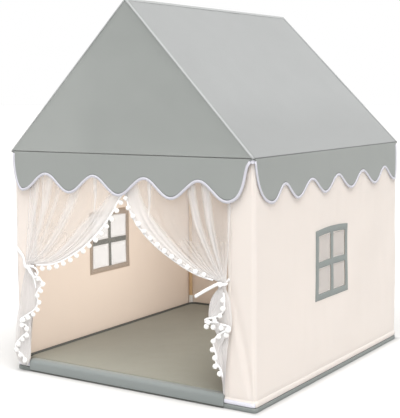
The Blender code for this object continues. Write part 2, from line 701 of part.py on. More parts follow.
def curtain_trim(name, data, rows, material):
    swag = [row[-1] for row in rows[:SWAG_ROWS + 1]]
    swag = [point for point in swag if point.z < TAPE_START_Z and
            abs(point.x - from_jamb(data, "tie_out")) > CURTAIN_WAIST / 2 + TAPE_TIE_CLEARANCE]
    tail = [row[-1] for row in rows[SWAG_ROWS + 1:]]
    tail = [point for point in tail if point.z < data["tie_z"] - WAIST_DROP - TAPE_TIE_CLEARANCE]
    ball_trim("pompom_swag_" + name, data["side"], swag, material)
    ball_trim("pompom_tail_" + name, data["side"], tail, material)


def ribbon_strip(bm, start, end, width, thickness):
    """A straight flat strip between two points, standing on its edge against the panel behind it."""
    start, end = Vector(start), Vector(end)
    way = (end - start).normalized()
    across = way.cross(Vector((0, 1, 0))).normalized() * width / 2
    deep = Vector((0, thickness / 2, 0))
    loops = []
    for point in (start, end):
        front, back = point - deep, point + deep
        loops.append([front + across, front - across, back - across, back + across])
    add_loft(bm, loops)


def tieback(name, data, material):
    """A ribbon band round the gathered curtain, its strap to the door's side and one loose end."""
    side = data["side"]
    centre = Vector((from_jamb(data, "tie_out"), CURTAIN_Y, data["tie_z"] - WAIST_DROP / 2))
    inner_x = CURTAIN_WAIST / 2 + TIE_RING_END_ROOM
    inner_y = WAIST_FOLD_SHARE * CURTAIN_WAIST + CURTAIN_CLOTH / 2 + TIE_RING_CLEARANCE
    bm = bmesh.new()
    loops = []
    half = RIBBON_WIDTH / 2
    for grow, z in ((0, -half), (RIBBON_THICKNESS, -half), (RIBBON_THICKNESS, half), (0, half)):
        loop = []
        for step in range(TIE_RING_SIDES):
            turn = 2 * pi * step / TIE_RING_SIDES
            offset = Vector(((inner_x + grow) * cos(turn), (inner_y + grow) * sin(turn), z))
            loop.append(bm.verts.new(centre + offset))
        loops.append(loop)
    for ring, following in zip(loops, loops[1:] + loops[:1]):
        for i in range(TIE_RING_SIDES):
            j = (i + 1) % TIE_RING_SIDES
            bm.faces.new((ring[i], ring[j], following[j], following[i]))
    band = finish_object("tieback_" + name, bm, material, smooth=True)

    jamb_face = FRONT_Y - GAP - RIBBON_THICKNESS / 2
    bm = bmesh.new()
    root = centre + Vector((side * (inner_x + RIBBON_THICKNESS / 2), 0, 0))
    strap_end = Vector((from_jamb(data, "strap_out"), jamb_face, data["strap_z"]))
    turn_point = root.lerp(strap_end, 0.5)
    turn_point.y = jamb_face
    ribbon_strip(bm, root, turn_point, RIBBON_WIDTH, RIBBON_THICKNESS)
    combine(band, finish_object("tieback_strap_" + name, bm, material), "UNION")
    bm = bmesh.new()
    way = (strap_end - turn_point).normalized()
    ribbon_strip(bm, turn_point - way * RIBBON_WIDTH / 2, strap_end, RIBBON_WIDTH, RIBBON_THICKNESS)
    combine(band, finish_object("tieback_strap_end_" + name, bm, material), "UNION")
    bm = bmesh.new()
    knot = centre + Vector((0, -inner_y - RIBBON_THICKNESS / 2, 0))
    loose_end = (from_jamb(data, "ribbon_out"), knot.y - RIBBON_FORWARD, data["ribbon_z"])
    ribbon_strip(bm, knot, loose_end, RIBBON_WIDTH, RIBBON_THICKNESS)
    combine(band, finish_object("tieback_ribbon_" + name, bm, material), "UNION")


def build():
    clear_scene()
    roof_grey = make_material("roof_grey_fabric", (0.36, 0.39, 0.37), 0.55)
    cream = make_material("cream_wall_fabric", (0.88, 0.80, 0.74), 0.85)
    binding_white = make_material("white_binding", (0.85, 0.84, 0.87), 0.6)
    wood = make_material("pine_pole", (0.72, 0.53, 0.34), 0.55)
    plastic = make_material("white_connector", (0.88, 0.88, 0.88), 0.4)
    tulle = make_material("curtain_tulle", (0.93, 0.91, 0.90), 0.8)
    pompom = make_material("pompom_yarn", (0.93, 0.92, 0.91), 0.95)
    ribbon = make_material("ribbon_satin", (0.92, 0.91, 0.91), 0.45)
    trim_grey = make_material("window_trim_grey", (0.33, 0.36, 0.35), 0.7)
    sheer = make_material("window_sheer", (0.80, 0.76, 0.75), 0.7)
    mat_grey = make_material("mat_grey_fabric", (0.33, 0.36, 0.35), 0.6)

    frame(wood, plastic)
    for name, side in (("left", -1), ("right", 1)):
        roof_panel("roof_" + name, side, roof_grey)
        side_wall("wall_" + name, side, cream)
        door_side(name, side, cream)
        window(name, side, trim_grey, sheer)
    gable_panel("gable_front", -1, roof_grey)
    gable_panel("gable_rear", 1, roof_grey)
    valances(roof_grey, binding_white)
    rear_wall(cream)
    door_header(cream)
    floor_mat(mat_grey)
    front_flap(mat_grey)
    for name, data in CURTAINS.items():
        rows = curtain(name, data, tulle)
        curtain_trim(name, data, rows, pompom)
        tieback(name, data, ribbon)


build()
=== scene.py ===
# Looks of the kids play tent: sewn cover, sheer curtains with ball trim, mat, frame and studio.
import random
from math import atan2, cos, hypot, pi, radians, sin, sqrt

import bmesh
import bpy
from mathutils import Matrix, Vector, noise


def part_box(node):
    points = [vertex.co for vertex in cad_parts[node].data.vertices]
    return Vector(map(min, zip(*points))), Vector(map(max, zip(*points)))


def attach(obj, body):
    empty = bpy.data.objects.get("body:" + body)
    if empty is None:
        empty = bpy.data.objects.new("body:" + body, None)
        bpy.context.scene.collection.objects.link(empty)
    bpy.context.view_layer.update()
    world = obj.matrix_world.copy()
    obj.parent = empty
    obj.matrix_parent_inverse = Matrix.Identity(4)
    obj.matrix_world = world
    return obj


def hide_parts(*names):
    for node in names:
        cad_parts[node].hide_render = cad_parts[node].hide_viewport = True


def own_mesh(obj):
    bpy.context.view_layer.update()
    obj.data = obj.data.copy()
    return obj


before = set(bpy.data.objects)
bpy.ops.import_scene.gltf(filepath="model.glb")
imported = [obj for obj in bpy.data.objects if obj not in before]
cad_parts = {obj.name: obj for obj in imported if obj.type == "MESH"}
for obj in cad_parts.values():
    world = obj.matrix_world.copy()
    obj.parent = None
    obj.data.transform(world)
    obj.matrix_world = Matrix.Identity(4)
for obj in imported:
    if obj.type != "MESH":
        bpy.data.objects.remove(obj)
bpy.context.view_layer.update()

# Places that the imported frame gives
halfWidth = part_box("valance_right")[1].x
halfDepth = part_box("valance_rear")[1].y
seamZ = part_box("roof_right")[0].z
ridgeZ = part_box("roof_right")[1].z
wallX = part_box("wall_right")[1].x
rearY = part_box("wall_rear")[1].y
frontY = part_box("door_side_right")[0].y
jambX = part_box("door_side_right")[0].x
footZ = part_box("wall_right")[0].z
ridgeInset = 0.025  # the gables lean in by this much at the ridge
clothThickness = 0.0012
tentMiddle = Vector((0, 0, seamZ / 2))
sides = (("left", -1), ("right", 1))
ends = (("front", -1), ("rear", 1))


def mix(first, second, share):
    return first + (second - first) * share


def ease(share):
    share = min(max(share, 0), 1)
    return share * share * (3 - 2 * share)


def hump(distance, reach):
    return ease(1 - abs(distance) / reach)


def dome(share, power=0.6):
    return sin(pi * min(max(share, 0), 1)) ** power


def waver(x, y, z, scale, seed):
    # soft noise from -1 to 1, the same each run
    return noise.noise(Vector((x, y, z)) / scale + Vector((seed * 3.7, seed * 1.9, seed * 5.3)))


def rolled(distance, radius):
    # how far a rounded edge has turned in at this distance from it
    rest = 1 - min(max(distance, 0), radius) / radius
    return radius * (1 - sqrt(1 - rest * rest))


def ladder(length, cell, close=(), start=0):
    # even steps along a length, with closer ones at both ends
    count = max(2, round(length / cell))
    even = [length * step / count for step in range(count + 1)]
    near = [*close, *(length - value for value in close)]
    kept = [value for value in even if all(abs(value - end) > cell * 0.3 for end in near)]
    return [start + value for value in sorted({*kept, *near, 0, length})]


def arcTurns(start, end, count):
    return [mix(start, end, step / count) for step in range(count + 1)]


def smoothPath(points, steps):
    # a curve through given points
    points = [Vector(point) for point in points]
    made = []
    padded = [points[0] * 2 - points[1], *points, points[-1] * 2 - points[-2]]
    for before, start, end, after in zip(padded, padded[1:], padded[2:], padded[3:]):
        for step in range(steps):
            share = step / steps
            made.append((start * 2 + (end - before) * share
                         + (before * 2 - start * 5 + end * 4 - after) * share ** 2
                         + (start * 3 - before - end * 3 + after) * share ** 3) / 2)
    return [*made, points[-1].copy()]


def pathLengths(points):
    lengths = [0]
    for start, end in zip(points, points[1:]):
        lengths.append(lengths[-1] + (end - start).length)
    return lengths


def stationsAlong(path):
    # (point, direction, length so far) at each point of a path
    last = len(path) - 1
    return [(point, (path[min(i + 1, last)] - path[max(i - 1, 0)]).normalized(), run)
            for i, (point, run) in enumerate(zip(path, pathLengths(path)))]


def addObject(name, data):
    made = bpy.data.objects.new(name, data)
    bpy.context.scene.collection.objects.link(made)
    return made


def addMesh(name, mesh, finish):
    data = bpy.data.meshes.new(name)
    mesh.to_mesh(data)
    mesh.free()
    data.materials.append(finish.material)
    return addObject(name, data)


def finishPiece(name, mesh, finish, body="tent"):
    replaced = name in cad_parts  # the solid keeps its own name
    piece = addMesh(name + "_shown" * replaced, mesh, finish)
    piece.data.shade_smooth()
    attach(piece, body)
    if replaced:
        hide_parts(name)
    return piece


def gridMesh(across, down, shape, flat=None, keep=None, mark=None):
    # a woven sheet: a grid whose columns and rows are set in place by shape()
    mesh = bmesh.new()
    bmesh.ops.create_grid(mesh, x_segments=len(across) - 1, y_segments=len(down) - 1, size=0.5)
    layer = mesh.loops.layers.uv.new("flat")
    marked = mesh.verts.layers.float.new(mark[0]) if mark else None
    flats = {}
    for vertex in mesh.verts:
        column = across[round((vertex.co.x + 0.5) * (len(across) - 1))]
        row = down[round((vertex.co.y + 0.5) * (len(down) - 1))]
        flats[vertex] = Vector(flat(column, row) if flat else (column, row))
        vertex.co = shape(column, row)
        if mark:
            vertex[marked] = mark[1](column, row)
    dropped = []
    for face in mesh.faces:
        for loop in face.loops:
            loop[layer].uv = flats[loop.vert]
        middle = sum((flats[vertex] for vertex in face.verts), Vector((0, 0))) / len(face.verts)
        if keep and not keep(*middle):
            dropped.append(face)
    bmesh.ops.delete(mesh, geom=dropped, context="FACES")
    return mesh


def clothPanel(name, across, down, shape, finish, body="tent", flat=None, keep=None, mark=None,
               thickness=clothThickness, lining=None, middle=tentMiddle):
    mesh = gridMesh(across, down, shape, flat, keep, mark)
    mesh.normal_update()
    if sum(face.normal.dot(face.calc_center_median() - middle) for face in mesh.faces) < 0:
        bmesh.ops.reverse_faces(mesh, faces=mesh.faces[:])
    piece = finishPiece(name, mesh, finish, body)
    thicken = piece.modifiers.new("thickness", "SOLIDIFY")
    thicken.thickness = thickness
    thicken.offset = -1
    if lining:
        piece.data.materials.append(lining.material)
        thicken.material_offset = 1
    return piece


def sweptPiece(name, path, section, shape, finish, body="tent", flat=None):
    # a closed section carried along a path, with its ends shut
    mesh = gridMesh(path, [*section, section[0]], shape, flat)
    bmesh.ops.remove_doubles(mesh, verts=mesh.verts[:], dist=0.00001)
    return closedPiece(name, mesh, finish, body)


def closedPiece(name, mesh, finish, body="tent"):
    bmesh.ops.holes_fill(mesh, edges=[edge for edge in mesh.edges if edge.is_boundary], sides=0)
    bmesh.ops.recalc_face_normals(mesh, faces=mesh.faces[:])
    return finishPiece(name, mesh, finish, body)


# Shader building
def operator(operation, swapped=False):
    # a shader sum that is written like a sum of numbers
    def apply(self, other=0.0):
        first, second = (other, self) if swapped else (self, other)
        return self.finish.node("ShaderNodeMath", {"operation": operation}, {0: first, 1: second})
    return apply


class Wire:
    # one node's output, used in sums as a number is
    def __init__(self, finish, socket):
        self.finish = finish
        self.socket = socket

    __add__ = operator("ADD")
    __radd__ = operator("ADD", True)
    __sub__ = operator("SUBTRACT")
    __rsub__ = operator("SUBTRACT", True)
    __mul__ = operator("MULTIPLY")
    __rmul__ = operator("MULTIPLY", True)
    __truediv__ = operator("DIVIDE")
    __pow__ = operator("POWER")
    __rpow__ = operator("POWER", True)
    __mod__ = operator("FLOORED_MODULO")
    __abs__ = operator("ABSOLUTE")
    __lt__ = operator("LESS_THAN")
    sine = operator("SINE")
    least = operator("MINIMUM")
    most = operator("MAXIMUM")


class Finish:
    # a material on the Principled shader, named for what it covers
    def __init__(self, name, slot, roughness, **uniform):
        self.slot = slot
        self.material = bpy.data.materials.new(name)
        self.material.use_nodes = True
        self.tree = self.material.node_tree
        self.shader = self.tree.nodes["Principled BSDF"]
        for socket, value in {"Roughness": roughness, **uniform}.items():
            self.shader.inputs[socket.replace("_", " ")].default_value = value

    def node(self, kind, settings=None, inputs=None, output=0):
        made = self.tree.nodes.new(kind)
        for key, value in (settings or {}).items():
            setattr(made, key, value)
        for key, value in (inputs or {}).items():
            if isinstance(value, Wire):
                self.tree.links.new(value.socket, made.inputs[key])
            else:
                made.inputs[key].default_value = value
        return Wire(self, made.outputs[output])

    def place(self):
        return self.node("ShaderNodeTexCoord", output="Object")

    def flat(self, axis=None):
        spot = self.node("ShaderNodeUVMap", {"uv_map": "flat"})
        return spot if axis is None else self.node("ShaderNodeSeparateXYZ", inputs={0: spot}, output=axis)

    def mark(self, name):
        return self.node("ShaderNodeAttribute", {"attribute_name": name}, output="Fac")

    def noise(self, scale, detail=3.0, roughness=0.5, streak=None):
        # the same all ways, or drawn out along the flat cloth
        where = self.place()
        if streak:
            where = self.node("ShaderNodeMapping", inputs={0: self.flat(), 3: (1, streak, 1)})
        return self.node("ShaderNodeTexNoise", inputs={"Vector": where, "Scale": scale, "Detail": detail,
                                                       "Roughness": roughness})

    def tint(self, factor, first, second):
        return self.node("ShaderNodeMix", {"data_type": "RGBA"}, {0: factor, 6: first, 7: second}, output=2)

    def bump(self, height, distance, strength=1.0, **under):
        inputs = {"Height": height, "Distance": distance, "Strength": strength, **under}
        return self.node("ShaderNodeBump", inputs=inputs)

    def feed(self, **wires):
        for socket, wire in wires.items():
            self.tree.links.new(wire.socket, self.shader.inputs[socket.replace("_", " ")])
        return self

    def translucent(self, share, colour):
        # lets part of the light through the cloth
        through = self.node("ShaderNodeBsdfTranslucent", inputs={"Color": (*colour, 1)})
        plain = Wire(self, self.shader.outputs[0])
        blend = self.node("ShaderNodeMixShader", inputs={0: share, 1: plain, 2: through})
        self.tree.links.new(blend.socket, self.tree.nodes["Material Output"].inputs["Surface"])
        return self


def rgb(colour, share=1.0):
    return tuple(value * share for value in colour) + (1,)


# Finishes: each cloth's colour and the shade of its dye, in linear light
colours = {
    "roof": ((0.332, 0.350, 0.341), (0.285, 0.304, 0.295)),
    # painted reflection: the slopes' cloth is the roof cloth made lighter and bluer, as a sky reflection on it
    "slope": ((0.380, 0.393, 0.398), (0.325, 0.336, 0.339)),
    # painted highlight: the rolled seams are the slope cloth made lighter, as light caught on their rounded tops
    "seam": ((0.415, 0.43, 0.43), (0.380, 0.393, 0.398)),
    "wall": ((0.92, 0.885, 0.855), (0.905, 0.862, 0.825)),
    # painted shade: the walls' inside face is the wall cloth made darker and warmer, as the shade inside the tent
    "lining": ((0.90, 0.81, 0.73), (0.88, 0.785, 0.70)),
    "binding": ((0.60, 0.60, 0.66), (0.55, 0.55, 0.61)),
    "whiteTape": ((0.74, 0.74, 0.82),),
    "trim": ((0.232, 0.258, 0.25), (0.218, 0.244, 0.236)),
    # painted shade: the trim's inside face made nearly black, as the trim in shade against the light
    "trimBack": ((0.085, 0.092, 0.078),),
    "ribbon": ((0.94, 0.94, 0.95),),
    "matTop": ((0.275, 0.275, 0.232), (0.255, 0.255, 0.212)),
    "matBand": ((0.25, 0.275, 0.272), (0.232, 0.257, 0.255)),
    # painted shade: the rim is the band's cloth made darker, as the shade under the walls' hems
    "matRim": ((0.22, 0.24, 0.235), (0.205, 0.225, 0.22)),
    # near-black edge cloth: a dark binding, made darker still as painted shade of the gap between the mat and the
    # walls
    "matEdge": ((0.095, 0.10, 0.09),),
}
# painted shade: the colour painted on the wall's inside where the window trim outside keeps the light out
trimShadeThrough = (0.40, 0.31, 0.235)
wallGlow, insideShadedGlow = (0.92, 0.82, 0.74), (0.92, 0.80, 0.70)  # the light that comes through the walls
stitch = {"pitch": 0.0042, "thread": 0.0005, "dash": 0.7}


def wovenCloth(name, slot, key, roughness=0.75, thread=0.0004, crumple=0.0016, through=0.0, glow=None,
               stitchRow=None, trimShadePatch=None, seamShadeLines=(), paintedLightLeft=0.0, paintedShadeAtEave=0.0, bindingEdgeShade=0.0):
    # sewn polyester: faint weave, soft creases, uneven dye and thread along the seams; where asked, painted light
    # and shade too: a lighter left side, a darker eave, dark bands and lines beside the binding and seams, and
    # the window trim's shade
    colour, shade = colours[key][0], colours[key][-1]
    cloth = Finish(name, slot, roughness, Sheen_Weight=0.15, Sheen_Roughness=0.5, Specular_IOR_Level=0.3)
    fine = cloth.noise(9.0, 4.0)
    # broad patches of uneven dye; on the roof cloths their wide spread also stands in for soft bands of light, as
    # painted light
    light = cloth.noise(1.6, 2.0) * 0.7 + fine * 0.3
    # painted light: the cloth made lighter towards its left side, as if that side caught more light
    if paintedLightLeft:
        light = light + ((cloth.flat(0) * -1 - 0.12).most(0)) * paintedLightLeft
    # painted shade: the cloth made darker towards its lower edge at the eave
    if paintedShadeAtEave:
        light = light - (0.30 - cloth.flat(1)).most(0) * paintedShadeAtEave
    dye = cloth.tint(light, rgb(shade), rgb(colour))
    # painted shade: a dark band along the flap's lower edge beside the binding
    if bindingEdgeShade:
        dye = cloth.tint((cloth.mark("fromEdge") < bindingEdgeShade) * 0.55, dye, rgb(colour, 0.35))
    height = (cloth.flat(0) * (pi / thread)).sine() * (cloth.flat(1) * (pi / thread)).sine() * 0.5
    relief = cloth.bump(cloth.noise(3.2, 3.0, 0.45), crumple * 8, 0.5)
    if stitchRow:
        dash = (cloth.flat(0) / stitch["pitch"]) % 1.0 < stitch["dash"]
        sewn = (abs(cloth.flat(1) - stitchRow) < stitch["thread"]) * dash
        dye = cloth.tint(sewn * 0.6, dye, rgb(colour))
        height = height + sewn * 2.0
    if trimShadePatch:
        # painted shade: (low, high) corners on the flat cloth where the window trim outside keeps light from
        # coming through, and the colour of that painted shade
        low, high, paintedShadeColour = trimShadePatch
        inside = [abs(cloth.flat(i) - (low[i] + high[i]) / 2) < (high[i] - low[i]) / 2 for i in (0, 1)]
        dye = cloth.tint(inside[0] * inside[1], dye, rgb(paintedShadeColour))
    for axis, place, half, depth in seamShadeLines:
        # painted shade: a dark line beside a seam that runs across the cloth, where the seam's groove is in shade
        dye = cloth.tint((abs(cloth.flat(axis) - place) < half) * depth, dye, rgb(colour, 0.3))
    cloth.feed(Base_Color=dye, Roughness=roughness + fine * 0.1 - 0.05,
               Normal=cloth.bump(height, 0.00012, 0.6, Normal=relief))
    return cloth.translucent(through, glow or colour) if through else cloth


# painted shade on the slopes: a dark line at the eave and one beside each rolled rake seam
slopeSeamShades = ((1, 0.0, 0.0028, 0.75), (0, 0.0118, 0.0030, 0.6), (0, 2 * halfDepth - 0.0118, 0.0030, 0.6))
# the slopes: roof cloth with a painted sky reflection
slopeSkySheenCloth = wovenCloth("roof slope cloth", "roof_fabric", "slope", through=0.06, paintedShadeAtEave=2.6, seamShadeLines=slopeSeamShades)
# the gables carry painted light on their left side
gableCloth = wovenCloth("gable cloth", "roof_fabric", "roof", through=0.06, paintedLightLeft=4.0)
seamHighlightCloth = wovenCloth("rolled seam cloth", "roof_fabric", "seam")
valanceCloth = wovenCloth("valance cloth", "roof_fabric", "roof", through=0.06, stitchRow=0.006, bindingEdgeShade=0.0044,
                          seamShadeLines=((1, 0.0, 0.0022, 0.75),))
wallCloth = wovenCloth("wall cloth", "wall_fabric", "wall", through=0.28, glow=wallGlow)
# the walls' inside face, with painted shade
wallInsideShaded = wovenCloth("wall cloth inside", "wall_fabric", "lining", through=0.28, glow=insideShadedGlow)
bindingTape = wovenCloth("binding tape", "white_binding", "binding", 0.55, 0.0003, stitchRow=0.0018)
whiteTape = wovenCloth("white tape", "white_binding", "whiteTape", 0.55, 0.0003)
trimTape = wovenCloth("window trim cloth", "window_trim", "trim")
# the trim's inside face, with painted shade
trimBack = wovenCloth("window trim inside", "window_trim", "trimBack")
matTopCloth = wovenCloth("mat top cloth", "mat_fabric", "matTop", 0.6, crumple=0.003)
matBandCloth = wovenCloth("mat band cloth", "mat_fabric", "matBand", 0.6)
matRimShadedCloth = wovenCloth("mat rim cloth", "mat_fabric", "matRim", 0.6)
matBindingAndGapShade = wovenCloth("mat edge cloth", "mat_fabric", "matEdge")
ribbonSatin = wovenCloth("ribbon satin", "ribbon", "ribbon", 0.35, 0.0002)


def makeTulle(name, slot, single, most, contrast, colour):
    # fine net: the more cloth lies across a point, the less shows through
    net = Finish(name, slot, 0.6, Sheen_Weight=0.3)
    streaks = net.noise(14.0, 1.0, streak=0.05) * 0.85 + net.noise(50.0, 1.0, streak=0.03) * 0.15
    layers = (net.mark("layers") * (1 + (streaks - 0.5) * contrast)).most(0.2)
    cover = (1 - (1 - single) ** layers).least(most)
    net.feed(Alpha=cover, Base_Color=net.tint(streaks, rgb(colour, 0.97), rgb(colour)),
             Normal=net.bump(net.noise(90.0, 2.0, streak=0.1), 0.0003, 0.1))
    return net.translucent(cover * 0.45, colour)


curtainTulle = makeTulle("curtain tulle", "curtain_tulle", 0.09, 0.97, 0.7, (0.88, 0.866, 0.862))
paneNet = makeTulle("window net", "window_mesh", 0.36, 0.95, 0.0, (0.88, 0.865, 0.86))

pompomYarn = Finish("pompom yarn", "pompom_yarn", 0.9, Sheen_Weight=0.5, Sheen_Roughness=0.6)
tufts = pompomYarn.noise(900.0)
pompomYarn.feed(Base_Color=pompomYarn.tint(tufts, rgb((0.86, 0.86, 0.85)), rgb((0.95, 0.95, 0.94))),
                Normal=pompomYarn.bump(tufts, 0.001, 0.7))

# turned pine: long grain and darker rings along the pole
pinePole = Finish("pine pole", "pine_pole", 0.5)
grain = pinePole.noise(90.0, 5.0, streak=0.06)
base = pinePole.tint(pinePole.noise(30.0, 2.0, streak=0.02), rgb((0.62, 0.42, 0.22)), rgb((0.76, 0.56, 0.34)))
pinePole.feed(Base_Color=pinePole.tint(grain * 0.5, base, rgb((0.42, 0.25, 0.11))), Roughness=0.42 + grain * 0.2,
              Normal=pinePole.bump(grain, 0.0003, 0.4))

whitePlastic = Finish("white moulded plastic", "white_plastic", 0.38)
wear = whitePlastic.noise(14.0)
whitePlastic.feed(Base_Color=whitePlastic.tint(wear, rgb((0.78, 0.78, 0.76)), rgb((0.86, 0.86, 0.85))),
                  Roughness=0.32 + wear * 0.15,
                  Normal=whitePlastic.bump(whitePlastic.noise(420.0, 2.0), 0.0002, 0.25))
print("finishes ready")

# Roof: two slopes, two leaning gables and the rolled seams between them
roof = {"cell": 0.016, "sag": 0.008, "wave": 0.0036, "edge": 0.004, "seamWidth": 0.009, "gableSag": 0.006,
        "ridgeWidth": 0.008}
closeSteps = (0.0012, 0.0025, 0.004, 0.010)
rise = ridgeZ - seamZ
slopeLength = hypot(rise, halfWidth)


def gableDepth(z):
    return halfDepth - ridgeInset * (z - seamZ) / rise


def roofSlope(name, side):
    outward = Vector((side * rise, 0, halfWidth)).normalized()
    length = 2 * halfDepth

    def shape(along, up):
        z = seamZ + rise * up / slopeLength
        x = side * halfWidth * (1 - up / slopeLength)
        y = (2 * along / length - 1) * gableDepth(z)
        tuck = rolled(min(along, length - along), roof["edge"]) + rolled(up, roof["edge"])
        tuck += rolled(slopeLength - up, roof["edge"]) * 0.6
        slack = dome(along / length) * dome(up / slopeLength)
        dip = slack * (roof["sag"] + roof["wave"] * 1.5 * waver(x, y, z, 0.33, 3))
        dip += roof["wave"] * dome(along / length, 0.4) * dome(up / slopeLength, 0.4) * waver(x, y, z, 0.11, 5)
        return Vector((x, y, z)) - outward * (tuck + dip)

    panel = clothPanel(name, ladder(length, roof["cell"], closeSteps),
                       ladder(slopeLength, roof["cell"], closeSteps), shape, slopeSkySheenCloth)


def gablePanel(name, end):
    half, top = halfWidth - 0.001, rise - 0.008
    shares = [value / half - 1 for value in ladder(2 * half, roof["cell"], closeSteps)]

    def shape(share, up):
        z = seamZ + up
        wide = half * (1 - up / rise)
        x = share * wide
        edge = (1 - abs(share)) * wide
        dip = dome((share + 1) / 2) * dome(up / rise)
        dip *= roof["gableSag"] + roof["wave"] * 2 * waver(x, end, z, 0.30, 11)
        dip += roof["wave"] * 0.7 * min(edge / 0.05, 1) * waver(x, end, z, 0.10, 12) * dome(up / rise, 0.4)
        dip += rolled(edge, 0.003) + rolled(up, 0.003)
        return Vector((x, end * (gableDepth(z) - dip), z))

    panel = clothPanel(name, shares, ladder(top, roof["cell"], closeSteps), shape, gableCloth,
                       flat=lambda share, up: (share * half * (1 - up / rise), up))


def rakeSeam(name, side, end):
    # the gable's edge rolled over the rake and sewn to the slope
    over = Vector((side * rise, 0, halfWidth)).normalized()
    wide = roof["seamWidth"]
    section = [(-wide, -0.0012), (-wide, 0.0008), (-wide * 0.9, 0.0016), (-wide * 0.45, 0.0019),
               (-0.0012, 0.0012), (0.0009, -0.0006), (0.0014, -0.002), (0.0013, -wide * 0.38),
               (0.0007, -wide * 0.48), (-0.0012, -wide * 0.48)]

    def shape(share, offset):
        z = seamZ + rise * share
        corner = Vector((side * halfWidth * (1 - share), end * gableDepth(z), z))
        wander = 0.0005 * waver(*corner, 0.05, 20)
        return corner + Vector((0, end, 0)) * (offset[0] + wander) + over * offset[1]

    sweptPiece(name, ladder(1.0, 0.02), section, shape, seamHighlightCloth,
               flat=lambda share, offset: (share * slopeLength, offset[0] - offset[1]))


def ridgeSeam():
    # flat felled seam along the ridge
    width = roof["ridgeWidth"]
    section = [(width * cos(turn), 0.0016 * sin(turn) - abs(cos(turn)) * width * 0.9)
               for turn in arcTurns(0, pi, 8)]
    section += [(-width * 0.7, -0.0095), (0, -0.0035), (width * 0.7, -0.0095)]
    reach = gableDepth(ridgeZ) - 0.001

    def shape(y, offset):
        return Vector((offset[0], y, ridgeZ - 0.0002 + offset[1] + 0.0004 * waver(0, y, 0, 0.06, 31)))

    sweptPiece("ridge_seam", ladder(2 * reach, 0.02, start=-reach), section, shape, seamHighlightCloth,
               flat=lambda y, offset: (y, offset[0]))


for sideName, side in sides:
    roofSlope("roof_" + sideName, side)
    for endName, end in ends:
        rakeSeam("rake_seam_" + endName + "_" + sideName, side, end)
for endName, end in ends:
    gablePanel("gable_" + endName, end)
ridgeSeam()
print("roof made")

# Valances: scalloped flaps with a white binding folded over the edge
scallops = {"binding": 0.008, "inset": 0.0150, "lobeSteps": 18, "sweepSteps": 14,
            "flare": 0.0022, "ripple": 0.0028,
            "front": {"fill": 0.72, "rise": 0.064, "sweeps": (0.058, 0.100), "slants": (0.0, 0.17),
                      "lobes": (0.0, 0.25, 0.5, 0.75, 1.0)},
            "side": {"fill": 0.80, "rise": 0.056, "sweeps": (0.1235, 0.040), "slants": (0.04, 0.04),
                     "lobes": (0.0, 0.175, 0.383, 0.592, 0.808, 1.0)}}
cornerTape = {"bend": 0.006, "reach": 0.009, "height": 0.016, "inset": 0.0022}
valanceBottom, valanceTop = (corner.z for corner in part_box("valance_front"))
frontBottom = valanceBottom + 0.008  # the front and rear flaps hang a little shorter
quarter = pi / 2


def scallopOutline(length, plan, sweeps, lowest):
    # lower edge of a flap: curved sweeps up to its ends and scallops between
    climb = valanceTop - scallops["binding"] - lowest
    startSweep, endSweep = sweeps
    steps = scallops["sweepSteps"]

    def sweepPoint(share, reach, slant):
        # share 0 at the scallop's foot, 1 at the flap's end
        turn = quarter * share
        drawn = sin(turn) - slant * dome(cos(turn) ** 0.6, 1.0)
        return (reach - scallops["inset"]) * drawn, lowest + climb * (1 - cos(turn))

    line = []
    for step in range(steps):
        aside, z = sweepPoint(1 - step / steps, startSweep, plan["slants"][0])
        line.append((startSweep - aside, z))
    for before, after in zip(plan["lobes"], plan["lobes"][1:]):
        for share in arcTurns(0, 1, scallops["lobeSteps"])[:-1]:
            place = startSweep + (length - startSweep - endSweep) * mix(before, after, share)
            line.append((place, lowest + plan["rise"] * (1 - cos(2 * pi * share)) / 2))
    line.append((length - endSweep, lowest))
    for step in range(1, steps + 1):
        aside, z = sweepPoint(step / steps, endSweep, plan["slants"][1])
        line.append((length - endSweep + aside, z))
    return line


def valanceFlap(name, corner, along, outward, length, plan, sweeps, lowest):
    line = scallopOutline(length, plan, sweeps, lowest)
    pitch = (length - sum(sweeps)) / (len(plan["lobes"]) - 1)
    body = "valance_flap_" + name
    seed = sum(ord(letter) for letter in name)
    depth = valanceTop - valanceBottom

    def place(distance, z, out):
        # each point stands off the seam's plane by the flap's flare and its ripples
        share = min(max((valanceTop - z) / depth, 0), 1)
        swing = sin(2 * pi * (distance - sweeps[0]) / pitch + 0.6)
        wave = waver(distance, z * 0.3, seed, 0.09, 40) + 0.35 * swing
        out += scallops["flare"] * share + scallops["ripple"] * share ** 1.5 * (0.6 + wave)
        return corner + along * distance + outward * out + Vector((0, 0, z))

    def shape(edge, share):
        z = mix(valanceTop, edge[1], share)
        return place(edge[0], z, -rolled(valanceTop - z, 0.0028))

    outline = [(0.0006, valanceTop - 0.004), *line, (length - 0.0006, valanceTop - 0.004)]
    shares = [0, 0.012, 0.03, 0.07, 0.15, 0.27, 0.4, 0.52, 0.64, 0.76, 0.88, 0.96, 1]
    flap = clothPanel("valance_" + name, outline, shares, shape, valanceCloth, body,
                      flat=lambda edge, share: (edge[0], share * (valanceTop - edge[1])),
                      mark=("fromEdge", lambda edge, share: (1 - share) * (valanceTop - edge[1])))

    half = scallops["binding"]
    section = [(-0.0014, 0.0012), (0.0002, 0.0021), (half * 0.4, 0.0025), (half * 0.8, 0.0020),
               (half + 0.0006, -0.0002), (half * 0.8, -0.0029), (half * 0.35, -0.0033), (-0.0012, -0.0027)]

    def bindingShape(station, offset):
        (distance, z), way, run = station
        pucker = 0.00035 * sin(run / stitch["pitch"] * 2 * pi / 3)
        return place(distance + way.y * offset[0], z - way.x * (offset[0] + pucker), offset[1])

    stations = stationsAlong([Vector(point) for point in line])
    binding = sweptPiece("valance_binding_" + name, stations, section, bindingShape, bindingTape, body,
                         flat=lambda station, offset: (station[2], offset[0]))


